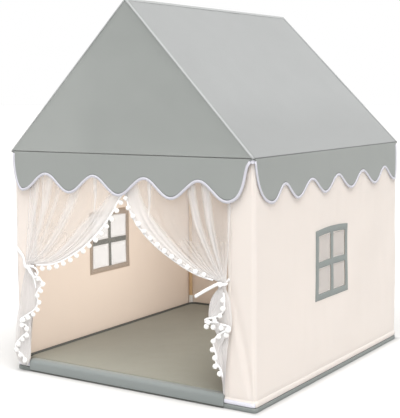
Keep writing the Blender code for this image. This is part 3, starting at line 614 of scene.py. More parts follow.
def cornerTab(name, side, end):
    # short white tape round the corner that the ends of the bindings are sewn to
    bend, height, reach = cornerTape["bend"], cornerTape["height"], cornerTape["reach"]
    across, away = halfWidth - cornerTape["inset"] - bend, halfDepth - cornerTape["inset"] - bend
    items = [(0, -reach), (0, -0.004), *[(1, turn) for turn in arcTurns(0, quarter, 6)], (2, 0.004), (2, reach)]

    def shape(item, z):
        kind, value = item
        drawn = value * (1 - 0.5 * (valanceTop - z) / height)
        spot = ((across + drawn, away + bend), (across + bend * sin(value), away + bend * cos(value)),
                (across + bend, away - drawn))[kind]
        return Vector((side * spot[0], end * spot[1], z))

    def flatPlace(item, z):
        return ((item[1], bend * item[1], bend * quarter + item[1])[item[0]], z)

    rows = [valanceTop - 0.0006 - value for value in ladder(height, 0.004, (0.0008,))]
    tab = clothPanel(name, items, rows, shape, whiteTape, flat=flatPlace, thickness=0.0008)


sideLow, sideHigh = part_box("valance_right")
frontLength = 2 * halfWidth
frontPlan, sidePlan = scallops["front"], scallops["side"]
sideSweeps = tuple(sweep - halfDepth - sideLow.y for sweep in sidePlan["sweeps"])
for endName, end in ends:
    valanceFlap(endName, Vector((end * halfWidth, end * halfDepth, 0)), Vector((-end, 0, 0)), Vector((0, end, 0)),
                frontLength, frontPlan, frontPlan["sweeps"], frontBottom)
for sideName, side in sides:
    valanceFlap(sideName, Vector((side * halfWidth, sideLow.y, 0)), Vector((0, 1, 0)), Vector((side, 0, 0)),
                sideHigh.y - sideLow.y, sidePlan, sideSweeps, valanceBottom)
for sideName, side in sides:
    for endName, end in ends:
        cornerTab("corner_tab_" + endName + "_" + sideName, side, end)
print("valances made")

# Walls: cream cloth round the corner posts, with a hem sleeve over the base rails
walls = {"cell": 0.014, "corner": 0.015, "wave": 0.0042, "streak": 0.0015, "hemLine": 0.0385, "hemBulge": 0.0025,
         "top": valanceTop - 0.0004}
window = {"width": 0.276, "height": 0.260, "middleY": -0.018, "middleZ": 0.425, "trim": 0.024, "bar": 0.023,
          "bow": 0.007, "drawIn": 0.003, "overlap": 0.0225, "proud": 0.0014, "hem": 0.003}
doorSides = {"hemWidth": 0.012, "footReach": {-1: -0.042, 1: 0.016}, "foldTopOut": 0.004, "foldTopZ": 0.40,
             "foldFootOut": 0.080, "foldFootZ": 0.05, "foldDepth": 0.0042, "stripTop": 0.0325}
sleeves = {"radius": 0.0104, "inward": 0.0135, "short": 0.02}
radius = walls["corner"]
cornerX = wallX - radius
halfW, halfH = window["width"] / 2, window["height"] / 2
holeW, holeH = halfW - window["overlap"], halfH - window["overlap"]
halfBar = window["bar"] / 2


def wallWave(x, y, z):
    # slack in the stretched cloth, pinned at the posts, the eave and the hem
    pinned = dome((z - footZ) / (seamZ - footZ), 0.5)
    broad = waver(x * 0.5, y, z * 0.8, 0.26, 50) + 0.5 * waver(x, y, z, 0.12, 51)
    return pinned * (walls["wave"] * broad + walls["streak"] * waver(x, y, z * 0.22, 0.045, 52))


def wallHeights():
    # rows from the eave down to the hem, closer together at the hem line
    top, hem = walls["top"], walls["hemLine"]
    rows = [top - value for value in ladder(top - hem - 0.004, walls["cell"])]
    rows += [hem - value for value in (-0.0015, 0, 0.0015, 0.004, 0.008, 0.012, 0.016, 0.019)]
    return sorted(rows + [footZ + 0.0012, footZ])


def hemOut(z):
    # outward swell of the sleeve below the stitched line, and the tuck under its foot
    hem = walls["hemLine"]
    if z > hem:
        return -0.0010 * hump(z - hem, 0.006)
    swell = sin(pi * min((hem - z) / (hem - footZ), 1)) ** 0.7
    return walls["hemBulge"] * swell - 0.0010 * hump(z - hem, 0.002) - rolled(z - footZ, 0.004)


def postArc(x, y, start, end):
    # (point, outward) along the arc round a corner post
    ways = [Vector((cos(turn), sin(turn))) for turn in arcTurns(start, end, 5)]
    return [(Vector((x, y)) + way * radius, way) for way in ways]


def wallPanel(name, plan, rows, keep=None, lining=wallInsideShaded):
    # a standing panel: a plan line with outward directions, carried from the eave to the hem
    lengths = pathLengths([point for point, way in plan])

    def shape(station, z):
        (point, way), run = station
        spot = point + way * (hemOut(z) + wallWave(point.x, point.y, z))
        return Vector((spot.x, spot.y, z))

    panel = clothPanel(name, list(zip(plan, lengths)), rows, shape, wallCloth,
                       flat=lambda station, z: (station[1], z), keep=keep, lining=lining)
    return panel, lengths[-1]


wallRows = wallHeights()
# where the window trim's painted shade lies on the side walls' inside face
trimShadeLow = (window["middleY"] - halfW - frontY - radius * (1 - pi / 4), window["middleZ"] - halfH)
trimShadeHigh = (trimShadeLow[0] + window["width"], trimShadeLow[1] + window["height"] + window["bow"])
sideInsideShaded = wovenCloth("side wall inside", "wall_fabric", "lining", through=0.28, glow=insideShadedGlow,
                        trimShadePatch=(trimShadeLow, trimShadeHigh, trimShadeThrough))


def clearOf(values, marks):
    return [value for value in values if all(abs(value - mark) > walls["cell"] * 0.4 for mark in marks)]


def sideWall(name, side):
    # from the front corner's middle, along the side, to the rear corner's middle
    start, end = frontY + radius, rearY - radius
    outTurn = 0 if side > 0 else pi
    turned = pi / 4 * side
    marks = [window["middleY"] - holeW, window["middleY"] + holeW]
    zMarks = [window["middleZ"] - holeH, window["middleZ"] + holeH]
    kept = clearOf(ladder(end - start, walls["cell"], start=start)[1:-1], marks)
    plan = postArc(side * cornerX, start, outTurn - turned, outTurn)
    plan += [(Vector((side * wallX, y)), Vector((side, 0))) for y in sorted(kept + marks)]
    plan += postArc(side * cornerX, end, outTurn, outTurn + turned)

    def keep(run, z):
        y = start + run - radius * pi / 4
        return abs(y - window["middleY"]) > holeW or abs(z - window["middleZ"]) > holeH

    panel, run = wallPanel(name, plan, sorted(clearOf(wallRows, zMarks) + zMarks), keep, sideInsideShaded)


def rearWall():
    even = [cornerX - value for value in ladder(2 * cornerX, walls["cell"])][1:-1]
    plan = postArc(cornerX, rearY - radius, pi / 4, pi / 2)
    plan += [(Vector((x, rearY)), Vector((0, 1))) for x in even]
    plan += postArc(-cornerX, rearY - radius, pi / 2, pi * 3 / 4)
    panel, run = wallPanel("wall_rear", plan, wallRows)


def doorEdge(side, z):
    # the hem of the right side spreads to its foot, and the left one is drawn outwards by the tie
    return jambX - doorSides["footReach"][side] * ease((0.45 - z) / 0.42)


def roundPost(side, turn, out, z):
    # a spot on the arc round a front corner post
    away = radius + out
    return Vector((side * (cornerX + sin(turn) * away), frontY + radius - cos(turn) * away, z))


def doorSide(name, side):
    # from the folded hem at the opening to the corner's middle
    hem = doorSides["hemWidth"]
    width = cornerX - jambX
    items = [(-1, value) for value in (hem, hem * 0.5, 0.002, 0.0007)]
    close = (0.0007, 0.002, 0.0035, hem - 0.0008, hem, hem + 0.0008)
    items += [(1, value) for value in ladder(width, 0.0105, close)]
    items += [(2, turn) for turn in arcTurns(0, pi / 4, 5)[1:]]
    rows = [z for z in wallRows if z >= doorSides["stripTop"] - 0.018]

    def crease(x, z):
        # the slanting fold that runs from the tie to the near hem corner
        share = (doorSides["foldTopZ"] - z) / (doorSides["foldTopZ"] - doorSides["foldFootZ"])
        beyond = x - jambX - mix(doorSides["foldTopOut"], doorSides["foldFootOut"], share)
        reach = dome(share * 0.8 + 0.1, 0.5) if -0.12 < share < 1.12 else 0
        return doorSides["foldDepth"] * reach * (0.6 * hump(beyond + 0.006, 0.012) - hump(beyond - 0.014, 0.022))

    def shape(item, z):
        kind, value = item
        if kind == 2:
            return roundPost(side, value, hemOut(z) + wallWave(cornerX, frontY, z), z)
        edge = doorEdge(side, z)
        x = edge + value * (cornerX - edge) / width if kind == 1 else edge + value
        out = rolled(value, 0.0012) - 0.0028
        if kind == 1:
            out = hemOut(z) + 0.8 * wallWave(x * side, frontY, z) * ease(value / 0.03) + crease(x, z)
            out -= rolled(value, 0.0012) + 0.0004 * hump(value - hem, 0.0009)
        return Vector((side * x, frontY - out, z))

    def flatPlace(item, z):
        kind, value = item
        return (width + radius * value if kind == 2 else kind * value, z)

    panel = clothPanel(name, items, rows, shape, wallCloth, flat=flatPlace, lining=wallInsideShaded)


def doorStrip(name, side):
    # white tape sewn across the foot of the door's side
    low, high = footZ + 0.0005, doorSides["stripTop"]
    start, stop = doorEdge(side, 0.03) + 0.0005, cornerX

    def shape(item, z):
        kind, value = item
        out = 0.0014 + 0.0003 * waver(value, 0, z, 0.02, 75) - rolled(z - low, 0.001) * 0.5 + hemOut(z)
        return roundPost(side, value, out, z) if kind else Vector((side * value, frontY - out, z))

    items = [(0, value) for value in ladder(stop - start, 0.012, (0.001,), start)]
    items += [(1, turn) for turn in arcTurns(0, pi / 4, 4)[1:]]
    strip = clothPanel(name, items, ladder(high - low, 0.003, (0.0008,), low), shape, whiteTape,
                       flat=lambda item, z: (item[1], z), thickness=0.0009)


def doorHeader():
    low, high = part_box("door_header")
    panel = clothPanel("door_header", ladder(high.x - low.x, 0.02, start=low.x),
                       ladder(high.z - low.z, 0.01, (0.001,), low.z),
                       lambda x, z: Vector((x, frontY - 0.0008 * waver(x, 0, z, 0.08, 60), z)), wallCloth,
                       lining=wallInsideShaded)


def hemSleeve(name, start, end, inward):
    # the turned-up hem that the base rail runs through, seen from inside
    length = (end - start).length
    along = (end - start).normalized()
    middle = inward * sleeves["inward"] + Vector((0, 0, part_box("base_rail_right")[0].z + 0.008))
    sleeveRadius = sleeves["radius"]

    def shape(run, turn):
        swell = sleeveRadius + 0.0006 * waver(run, turn, 0, 0.05, 70)
        return start + along * run + middle + inward * swell * cos(turn) + Vector((0, 0, swell * sin(turn)))

    sleeve = clothPanel(name, ladder(length, 0.02, (0.001,)), arcTurns(pi * 1.42, pi * 0.12, 12),
                        shape, wallInsideShaded, flat=lambda run, turn: (run, turn * sleeveRadius), thickness=0.001,
                        middle=start.lerp(end, 0.5) + middle)


short = sleeves["short"]
for sideName, side in sides:
    sideWall("wall_" + sideName, side)
    doorSide("door_side_" + sideName, side)
    doorStrip("door_hem_strip_" + sideName, side)
    railLow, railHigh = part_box("base_rail_" + sideName)
    hemSleeve("hem_sleeve_" + sideName, Vector((side * wallX, railLow.y + short, 0)),
              Vector((side * wallX, railHigh.y - short, 0)), Vector((-side, 0, 0)))
rearWall()
railLow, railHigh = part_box("base_rail_rear")
hemSleeve("hem_sleeve_rear", Vector((railLow.x + short, rearY, 0)), Vector((railHigh.x - short, rearY, 0)),
          Vector((0, -1, 0)))
doorHeader()
print("walls made")

# Windows: net panes behind a cloth frame with a cross


def windowSpot(side, across, upward, out, sag=0.0):
    # the sewn-in window pulls its top edge up and its sides in
    shareX, shareZ = across / halfW, upward / halfH
    y = window["middleY"] + across + window["drawIn"] * shareX * (shareZ * shareZ - 1)
    z = window["middleZ"] + upward + window["bow"] * (1 - shareX * shareX) * ease((shareZ + 0.6) / 1.6)
    out += sag * waver(side, y, z, 0.03, 80) + wallWave(side * wallX, y, z)
    return Vector((side * (wallX + out), y, z))


def evenMarks(half, cell):
    # steps between the given marks and their mirror images
    marks = half + [-value for value in reversed(half)]
    values = []
    for start, end in zip(marks, marks[1:]):
        values += arcTurns(start, end, max(1, round((end - start) / cell)))[:-1]
    return [*values, marks[-1]]


def fromMembers(across, upward):
    # how far a spot lies from the outer edge, the outer tape and the cross, towards the pane
    outer = min(halfW - abs(across), halfH - abs(upward))
    return outer, outer - window["trim"], min(abs(across), abs(upward)) - halfBar


def windowTrim(name, side):
    edge = 0.0012

    def shape(across, upward):
        outer, tape, bar = fromMembers(across, upward)
        inward = min(outer, max(-bar, -tape, 0))
        return windowSpot(side, across, upward, window["proud"] + 0.0004 - rolled(inward, edge) * 0.6)

    def keep(across, upward):
        outer, tape, bar = fromMembers(across, upward)
        return tape <= 0 or bar < 0

    def marks(half):
        inner = half - window["trim"]
        return evenMarks([-half, edge - half, -inner - edge, -inner, -halfBar, edge - halfBar], 0.009)

    trim = clothPanel(name, marks(halfW), marks(halfH), shape, trimTape, keep=keep, lining=trimBack)


def windowPane(name, side):
    paneW, paneH, hem = halfW - 0.004, halfH - 0.004, window["hem"]

    def layers(across, upward):
        # open under the cloth members, doubled where it is turned in along them
        outer, tape, bar = fromMembers(across, upward)
        return 0.0 if min(tape, bar) < -0.0005 else 1.0 + 1.6 * (min(tape, bar) < hem)

    def marks(half, reach):
        # steps close to each member's edge, so that the hems are even
        inner = half - window["trim"]
        return evenMarks([-reach, -inner - 0.001, -inner, -inner + hem, -inner + hem + 0.001,
                          -halfBar - hem - 0.001, -halfBar - hem, -halfBar, -halfBar + 0.001], 0.0065)

    pane = clothPanel(name, marks(halfW, paneW), marks(halfH, paneH),
                      lambda across, upward: windowSpot(side, across, upward, -0.0018, 0.0006), paneNet,
                      mark=("layers", layers), thickness=0.0003)


for sideName, side in sides:
    windowTrim("window_trim_" + sideName, side)
    windowPane("window_mesh_" + sideName, side)
print("windows made")

# Curtains: gathered net that falls from the header to the tie and spreads into a tail
curtains = {
    "left": {
        "side": -1, "tie": (-0.452, 0.418), "topX": -0.447,
        "edge": ((0.050, 0.844), (0.047, 0.775), (0.024, 0.730), (-0.018, 0.696), (-0.050, 0.640),
            (-0.085, 0.594), (-0.130, 0.549), (-0.185, 0.504), (-0.254, 0.463), (-0.304, 0.440),
            (-0.354, 0.426), (-0.434, 0.418)),
        "outer": ((-0.470, 0.400), (-0.491, 0.330), (-0.505, 0.258), (-0.519, 0.205), (-0.532, 0.120),
            (-0.535, 0.080), (-0.522, 0.045), (-0.500, 0.022)),
        "inner": ((-0.441, 0.400), (-0.429, 0.350), (-0.425, 0.300), (-0.429, 0.250), (-0.444, 0.205),
            (-0.451, 0.127), (-0.451, 0.080), (-0.461, 0.040), (-0.470, 0.022)),
        "lead": ((-0.434, 0.400), (-0.404, 0.374), (-0.380, 0.354), (-0.400, 0.328), (-0.414, 0.304),
            (-0.402, 0.282), (-0.418, 0.252), (-0.455, 0.228), (-0.494, 0.204), (-0.488, 0.188),
            (-0.462, 0.178), (-0.464, 0.156), (-0.490, 0.136), (-0.522, 0.100), (-0.512, 0.078),
            (-0.484, 0.060), (-0.476, 0.036)),
        "pleats": ((-0.132, 0.019, 0.21, 8.0), (-0.382, 0.012, 0.24, 4.0)), "band": (0.07, 0.25, 4.6), "seed": 4,
        "streaks": ((0.09, 0.040, 3.6), (0.22, 0.060, 5.0), (0.34, 0.035, 2.2), (0.52, 0.075, 4.2))},
    "right": {
        "side": 1, "tie": (0.411, 0.434), "topX": 0.447,
        "edge": ((-0.012, 0.844), (-0.007, 0.775), (0.006, 0.710), (0.0151, 0.680), (0.0279, 0.6506),
            (0.0644, 0.6014), (0.1212, 0.5497), (0.1979, 0.5008), (0.2975, 0.4548), (0.393, 0.434)),
        "outer": ((0.429, 0.407), (0.442, 0.375), (0.448, 0.332), (0.449, 0.291), (0.437, 0.248),
            (0.431, 0.200), (0.426, 0.151), (0.422, 0.102), (0.419, 0.050)),
        "inner": ((0.396, 0.407), (0.379, 0.388), (0.364, 0.359), (0.358, 0.322), (0.360, 0.295),
            (0.374, 0.276), (0.389, 0.254), (0.402, 0.220), (0.411, 0.173), (0.413, 0.113),
            (0.413, 0.055)),
        "lead": ((0.418, 0.407), (0.425, 0.387), (0.427, 0.360), (0.423, 0.336), (0.402, 0.316),
            (0.374, 0.306), (0.352, 0.300), (0.350, 0.293), (0.370, 0.292), (0.401, 0.294),
            (0.432, 0.292), (0.450, 0.286), (0.447, 0.274), (0.420, 0.264), (0.397, 0.246),
            (0.385, 0.228), (0.388, 0.205), (0.396, 0.182), (0.393, 0.162), (0.403, 0.150),
            (0.412, 0.140), (0.417, 0.125), (0.421, 0.112)),
        "pleats": ((0.110, 0.019, 0.21, 8.0), (0.356, 0.010, 0.20, 4.0)), "band": (0.12, 0.22, 6.0), "seed": 9,
        "streaks": ((0.36, 0.048, 8.0), (0.23, 0.052, 8.0))},
}
curtainCloth = {"waist": 0.036, "waistDrop": 0.018, "fullness": 1.6, "folds": 15, "columns": 150, "swagRows": 80,
                "tailRows": 56, "headerFold": 0.0024, "freeFold": 0.0075, "freeDrop": 0.098, "tulleThick": 0.0003,
                "ruffle": 0.66, "maxLayers": 22.0}
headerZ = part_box("curtain_left")[1].z
flatWidth = curtainCloth["fullness"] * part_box("curtain_right")[1].x
curtainY = -halfDepth - 0.0025
columnCount = curtainCloth["columns"]
swagCount = curtainCloth["swagRows"] + 1


def atShare(path, share):
    # the point at this share of a path's length
    lengths = pathLengths(path)
    wanted = share * lengths[-1]
    index = max(i for i in range(len(lengths) - 1) if lengths[i] <= wanted)
    part = (wanted - lengths[index]) / max(lengths[index + 1] - lengths[index], 1e-9)
    return path[index].lerp(path[index + 1], min(part, 1))


def gatherShares():
    # where each column of cloth lies across the curtain, 0 at the post and 1 at the inner edge
    weights = [1 / (1 + 2.2 * hump((column + 0.5) / columnCount - 0.95, 0.10)) for column in range(columnCount)]
    return [sum(weights[:column]) / sum(weights) for column in range(columnCount + 1)]


def curtainRows(data):
    # the outer and inner ends of each row, with a share along the swag (0..1) and the tail (1..2)
    top = Vector((data["topX"], headerZ))
    waist = Vector(data["tie"]) + Vector((data["side"] * curtainCloth["waist"] / 2, 0))
    edge = smoothPath(data["edge"], 12)
    rows = []
    for share in arcTurns(0, 1, curtainCloth["swagRows"]):
        outer = top.lerp(waist, share)
        outer.x = mix(outer.x, top.x, ease(1.6 * (1 - share)) * ease(share * 4) * 0.6)
        rows.append((outer, None, atShare(edge, share), share))
    paths = [smoothPath(data[key], 24) for key in ("outer", "inner", "lead")]
    for share in arcTurns(0, 1, curtainCloth["tailRows"]):
        rows.append((*[atShare(path, share) for path in paths], 1 + share))
    return rows


def curtainPoint(data, row, share, gather):
    outer, middle, inner, run = row
    ruffle, seed = curtainCloth["ruffle"], data["seed"]
    forward = 0.0
    if middle is None:
        spot = outer.lerp(inner, gather)
    elif share < ruffle:
        spot = outer.lerp(middle, share / ruffle)
    else:
        part = (share - ruffle) / (1 - ruffle)
        spot = middle.lerp(inner, part)
        forward = 0.010 * part * dome(min((run - 1) * 0.92 + 0.06, 0.5), 0.5)
    width = max((inner - outer).length, 0.05 if middle else 0)
    phase = 2 * pi * (curtainCloth["folds"] * share + 0.9 * waver(share, 0, seed, 0.11, 90))
    strength = 0.55 + 0.6 * waver(share, run * 0.15, seed, 0.07, 91)
    fade = 0.35 + 0.65 * max(ease(1 - run / 0.42), ease((run - 0.55) / 0.3)) if run < 1 else 1.0
    crossing = ease((0.13 - abs(spot.x)) / 0.05) * ease((spot.y - 0.62) / 0.06)
    # behind the front valance above, in front of the door's sides below
    free = ease((valanceBottom - spot.y) / curtainCloth["freeDrop"])
    fold = mix(curtainCloth["headerFold"], curtainCloth["freeFold"], free)
    narrow = min(fold * fade, 0.011 * width + 0.0003) * (1 - 0.6 * crossing)
    y = mix((frontY - halfDepth + clothThickness) / 2, curtainY, free)
    y += narrow * strength * cos(phase) - forward + 0.0015 * crossing * data["side"]
    y += 0.25 * narrow * waver(share, run * 0.25, seed, 0.05, 92)
    slide = narrow * 0.45 * sin(phase) * strength
    along = (inner - outer).normalized() * slide * (0.3 if run < 1 else 0.5)
    return Vector((spot.x + along.x, y, spot.y + along.y))


def drawnFolds(data, run, share, x, drop):
    # extra cloth in the short pleats under the header, the long streaks and the band beside the edge
    extra = 0.0
    above = ease((1.1 - run) / 0.1)
    for place, reach, length, strength in data["pleats"]:
        if drop < length:
            extra += strength * hump(x - place, reach * (1 - drop / length) + 0.002)
    for place, reach, strength in data["streaks"]:
        extra += strength * hump(share - place, reach) * above
    top, low, strength = data["band"]
    start = 1 - mix(top, low, ease((run - 0.15) / 0.4))
    extra += strength * ease((share - start + 0.03) / 0.06) * above
    return extra + mix(3.0, 8.0, ease((share - 0.12) / 0.3)) * ease((run - 0.92) / 0.12)


def curtainPanel(name, data):
    rows = curtainRows(data)
    gathers = gatherShares()
    columns = list(range(columnCount + 1))
    points = [[curtainPoint(data, row, column / columnCount, gathers[column]) for column in columns]
              for row in rows]
    drops = pathLengths([line[columnCount // 2] for line in points])

    def crowding(column, row):
        # cloth across this spot against the width that it shows from the front
        before, after = max(column - 4, 0), min(column + 4, columnCount)
        fall = points[min(row + 2, len(rows) - 1)][column] - points[max(row - 2, 0)][column]
        step = points[row][after] - points[row][before]
        shown = abs(step.x * fall.z - step.z * fall.x) / hypot(fall.x, fall.z)
        return min(flatWidth * (after - before) / columnCount / max(shown, 0.0006), curtainCloth["maxLayers"])

    def blurred(line, reach=7):
        near = [line[max(column - reach, 0):column + reach + 1] for column in columns]
        return [sum(values) / len(values) for values in near]

    soft = [blurred([crowding(column, row) for column in columns]) for row in range(len(rows))]

    def layers(column, row):
        near = soft[max(row - 2, 0):row + 3]
        edge = 2.5 * (column < 3) + 2.5 * (column > columnCount - 3)
        spot = points[row][column]
        drawn = drawnFolds(data, rows[row][3], gathers[column], spot.x, headerZ - spot.z)
        return sum(line[column] for line in near) / len(near) + edge + drawn

    panel = clothPanel(name, columns, list(range(len(rows))), lambda column, row: points[row][column],
                       curtainTulle, flat=lambda column, row: (flatWidth * column / columnCount, drops[row]),
                       mark=("layers", layers), thickness=curtainCloth["tulleThick"], middle=Vector((0, 10, 0.5)))
    return panel, [line[-1] for line in points], drops[-1]


pompoms = {"radius": 0.0093, "spacing": 0.036, "tailSpacing": 0.029, "tape": 0.006, "tapeHalf": 0.0007,
           "fluff": 0.10, "tieClearance": 0.014, "lowest": 0.045}


def scallopZ(x):
    # lower edge of the front valance
    pitch = (frontLength - sum(frontPlan["sweeps"])) / (len(frontPlan["lobes"]) - 1)
    share = (x + halfWidth - frontPlan["sweeps"][0]) / pitch
    return frontBottom + frontPlan["rise"] * (1 - cos(2 * pi * share)) / 2


def alongPath(path, spacing, wanted):
    places, travelled = [], 0.0
    for a, b in zip(path, path[1:]):
        length = (b - a).length
        while length and travelled + length >= wanted:
            places.append((a.lerp(b, (wanted - travelled) / length), (b - a).normalized()))
            wanted += spacing
        travelled += length
    return places


def outOfCloth(side, run):
    lift = 1 if run.z < 0 else -1
    return Vector((-side * abs(run.z), 0, -side * lift * run.x)).normalized()


def addBall(mesh, shape):
    for vertex in bmesh.ops.create_icosphere(mesh, subdivisions=3, radius=1.0)["verts"]:
        vertex.co = shape(vertex.co.normalized())


def fluffyBall(mesh, centre, radius, seed):
    def shape(way):
        tuft = noise.noise(way * 3.2 + Vector((seed, seed * 0.7, 0)))
        tuft += noise.noise(way * 11 + Vector((seed * 1.3, 0, seed)))
        return centre + way * radius * (0.97 + tuft * pompoms["fluff"])

    addBall(mesh, shape)


def ballTrim(name, side, path, seed, smallDrop, spacing, tucked=False):
    # white tape along the edge and the yarn balls that hang from it
    wide, half, size = pompoms["tape"], pompoms["tapeHalf"], pompoms["radius"]
    section = [(0.0, -half), (wide * 0.5, -half * 1.5), (wide, -half), (wide, half), (wide * 0.5, half * 1.5),
               (0.0, half)]

    def shape(station, offset):
        point, way, run = station
        return point + outOfCloth(side, way) * (offset[0] - 0.001) + Vector((0, offset[1] - 0.0006, 0))

    tape = sweptPiece(name + "_tape", stationsAlong(path), section, shape, ribbonSatin,
                      flat=lambda station, offset: (station[2], offset[0]))
    mesh = bmesh.new()
    mesh.loops.layers.uv.new("flat")
    chooser = random.Random(seed)
    for point, run in alongPath(path, spacing, spacing / 2):
        way = outOfCloth(side, run)
        hang = (way * (1 - smallDrop) + Vector((0, 0, -1)) * smallDrop).normalized()
        reach = wide + size * 0.82 + chooser.uniform(-0.0008, 0.0016)
        ballSize = size * chooser.uniform(0.93, 1.07)
        place = point + hang * reach + Vector((0, chooser.uniform(-0.002, 0.001), 0))
        if tucked:
            # the balls lie on the cloth inside its edge
            place = point - way * 0.008 * ease((0.66 - point.z) / 0.05) - Vector((0, size * 0.75, 0))
        fluffyBall(mesh, place, ballSize, chooser.uniform(0, 50))
    return [tape, finishPiece(name, mesh, pompomYarn)]


ribbons = {
    "left": {"post": (-0.527, 0.474), "strap": 0.0140, "wide": 0.0065,
             "loops": (((0.018, -0.002), (0.050, -0.012), (0.060, -0.028), (0.046, -0.042), (0.024, -0.026)),),
             "ends": (((0.016, -0.016), (0.036, -0.046), (0.050, -0.084)),)},
    "right": {"post": (0.434, 0.442), "strap": 0.0095, "wide": 0.0105, "loops": (),
              "ends": (((-0.006, -0.006), (-0.050, -0.030), (-0.096, -0.058)),)},
}
ribbonBand = {"width": 0.0095, "thickness": 0.0008, "deep": 0.0085, "knot": (0.0095, 0.0045, 0.0085)}


def bandStrip(name, points, width, stand=0.0):
    # ribbon on edge along a curve, its face to the front
    section = [(-0.5, 0.5), (0.0, 0.7), (0.5, 0.5), (0.5, -0.5), (0.0, -0.7), (-0.5, -0.5)]
    face = Vector((0, -1, stand)).normalized()

    def shape(station, offset):
        point, way, run = station
        across = way.cross(face).normalized()
        deep = offset[1] * ribbonBand["thickness"] + 0.0006 * waver(run, 0, 1, 0.03, 95)
        return point + across * offset[0] * width + across.cross(way).normalized() * deep

    sweptPiece(name, stationsAlong(smoothPath(points, 8)), section, shape, ribbonSatin,
               flat=lambda station, offset: (station[2], offset[0] * width))


def tieBack(name, data, ribbon):
    # the band round the waist, its strap to the post, the knot and what hangs from it
    tie = Vector(data["tie"])
    waistZ = tie.y - curtainCloth["waistDrop"] / 2
    half, deep = curtainCloth["waist"] / 2 + 0.003, ribbonBand["deep"]
    ring = [Vector((tie.x + half * cos(turn), curtainY + deep * sin(turn), waistZ + 0.003 * cos(turn)))
            for turn in arcTurns(0, 2 * pi, 32)]
    section = [(-0.5, 0.0), (-0.45, 0.0011), (0.0, 0.0016), (0.45, 0.0011), (0.5, 0.0),
               (0.0, -0.0002), (-0.5, 0.0)]

    def ringShape(point, offset):
        out = Vector((point.x - tie.x, (point.y - curtainY) * 2, 0)).normalized()
        return point + out * offset[1] + Vector((0, 0, offset[0] * ribbonBand["width"]))

    mesh = gridMesh(ring, section, ringShape,
                    lambda point, offset: (atan2(point.y - curtainY, point.x - tie.x) * half, offset[0]))
    bmesh.ops.remove_doubles(mesh, verts=mesh.verts[:], dist=0.00002)
    closedPiece("tieback_" + name, mesh, ribbonSatin)
    front = curtainY - deep - 0.002
    post = Vector(ribbon["post"])
    strap = [(tie.x + data["side"] * half * 0.9, curtainY - 0.004, waistZ),
             (mix(tie.x, post.x, 0.55), frontY - 0.004, mix(waistZ, post.y, 0.5)),
             (post.x, frontY - 0.0022, post.y)]
    bandStrip("tieback_strap_" + name, strap, ribbon["strap"])
    for kind, first, step, last, stand in (("end", 0.003, 0.003, [], 0.0),
                                           ("loop", 0.004, 0.002, [(tie.x, front - 0.001, waistZ)], 0.3)):
        for index, points in enumerate(ribbon[kind + "s"]):
            run = [(tie.x + x, front - first - step * i, tie.y + z) for i, (x, z) in enumerate(points)]
            bandStrip("tieback_" + kind + "_" + name + "_" + str(index + 1),
                      [(tie.x, front, waistZ), *run, *last], ribbon["wide"], stand)
    knot = bmesh.new()
    knot.loops.layers.uv.new("flat")

    def knotShape(way):
        x, y, z = way * (1 + 0.12 * noise.noise(way * 2.3)) * Vector(ribbonBand["knot"])
        return Vector((tie.x + x, front + y, waistZ + z + way.x * 0.001))

    addBall(knot, knotShape)
    finishPiece("tieback_knot_" + name, knot, ribbonSatin)


for sideName, data in curtains.items():
    side = data["side"]
    tieX, tieZ = data["tie"]
    panel, innerEdge, flatLength = curtainPanel("curtain_" + sideName, data)
    clear = curtainCloth["waist"] / 2 + pompoms["tieClearance"]
    tailTop = tieZ - curtainCloth["waistDrop"] - 0.012
    swagEdge = [p for p in innerEdge[:swagCount] if p.z < scallopZ(p.x) - 0.002 and abs(p.x - tieX) > clear]
    tailEdge = [p for p in innerEdge[swagCount:] if pompoms["lowest"] < p.z < tailTop]
    trim = ballTrim("pompom_swag_" + sideName, side, swagEdge, 21 + side, 0.35, pompoms["spacing"], side > 0)
    trim += ballTrim("pompom_tail_" + sideName, side, tailEdge, 41 + side, 0.6, pompoms["tailSpacing"])
    tieBack(sideName, data, ribbons[sideName])
    for piece in [panel, *trim]:
        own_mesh(piece)
print("curtains made")

# Mat: thin rim under the walls, crowned pad inside, rolled border and the front flap
mat = {"cornerRadius": 0.014, "padRadius": 0.030, "roll": 0.008, "crown": 0.007, "wrinkle": 0.0014,
       "borderRadius": 0.0062, "padX": 0.505, "padFront": -0.572, "padRear": 0.581, "rimTop": 0.016,
       "flapThick": 0.003, "flapCorner": 0.012, "flapLeft": 0.041, "flapRight": 0.0145, "flapEdge": 0.0021}
rimLow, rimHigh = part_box("floor_mat")
padX, padFront, rimTop = mat["padX"], mat["padFront"], mat["rimTop"]
halfY, middleY = (mat["padRear"] - padFront) / 2, (mat["padRear"] + padFront) / 2
padTop = rimHigh.z - mat["crown"]


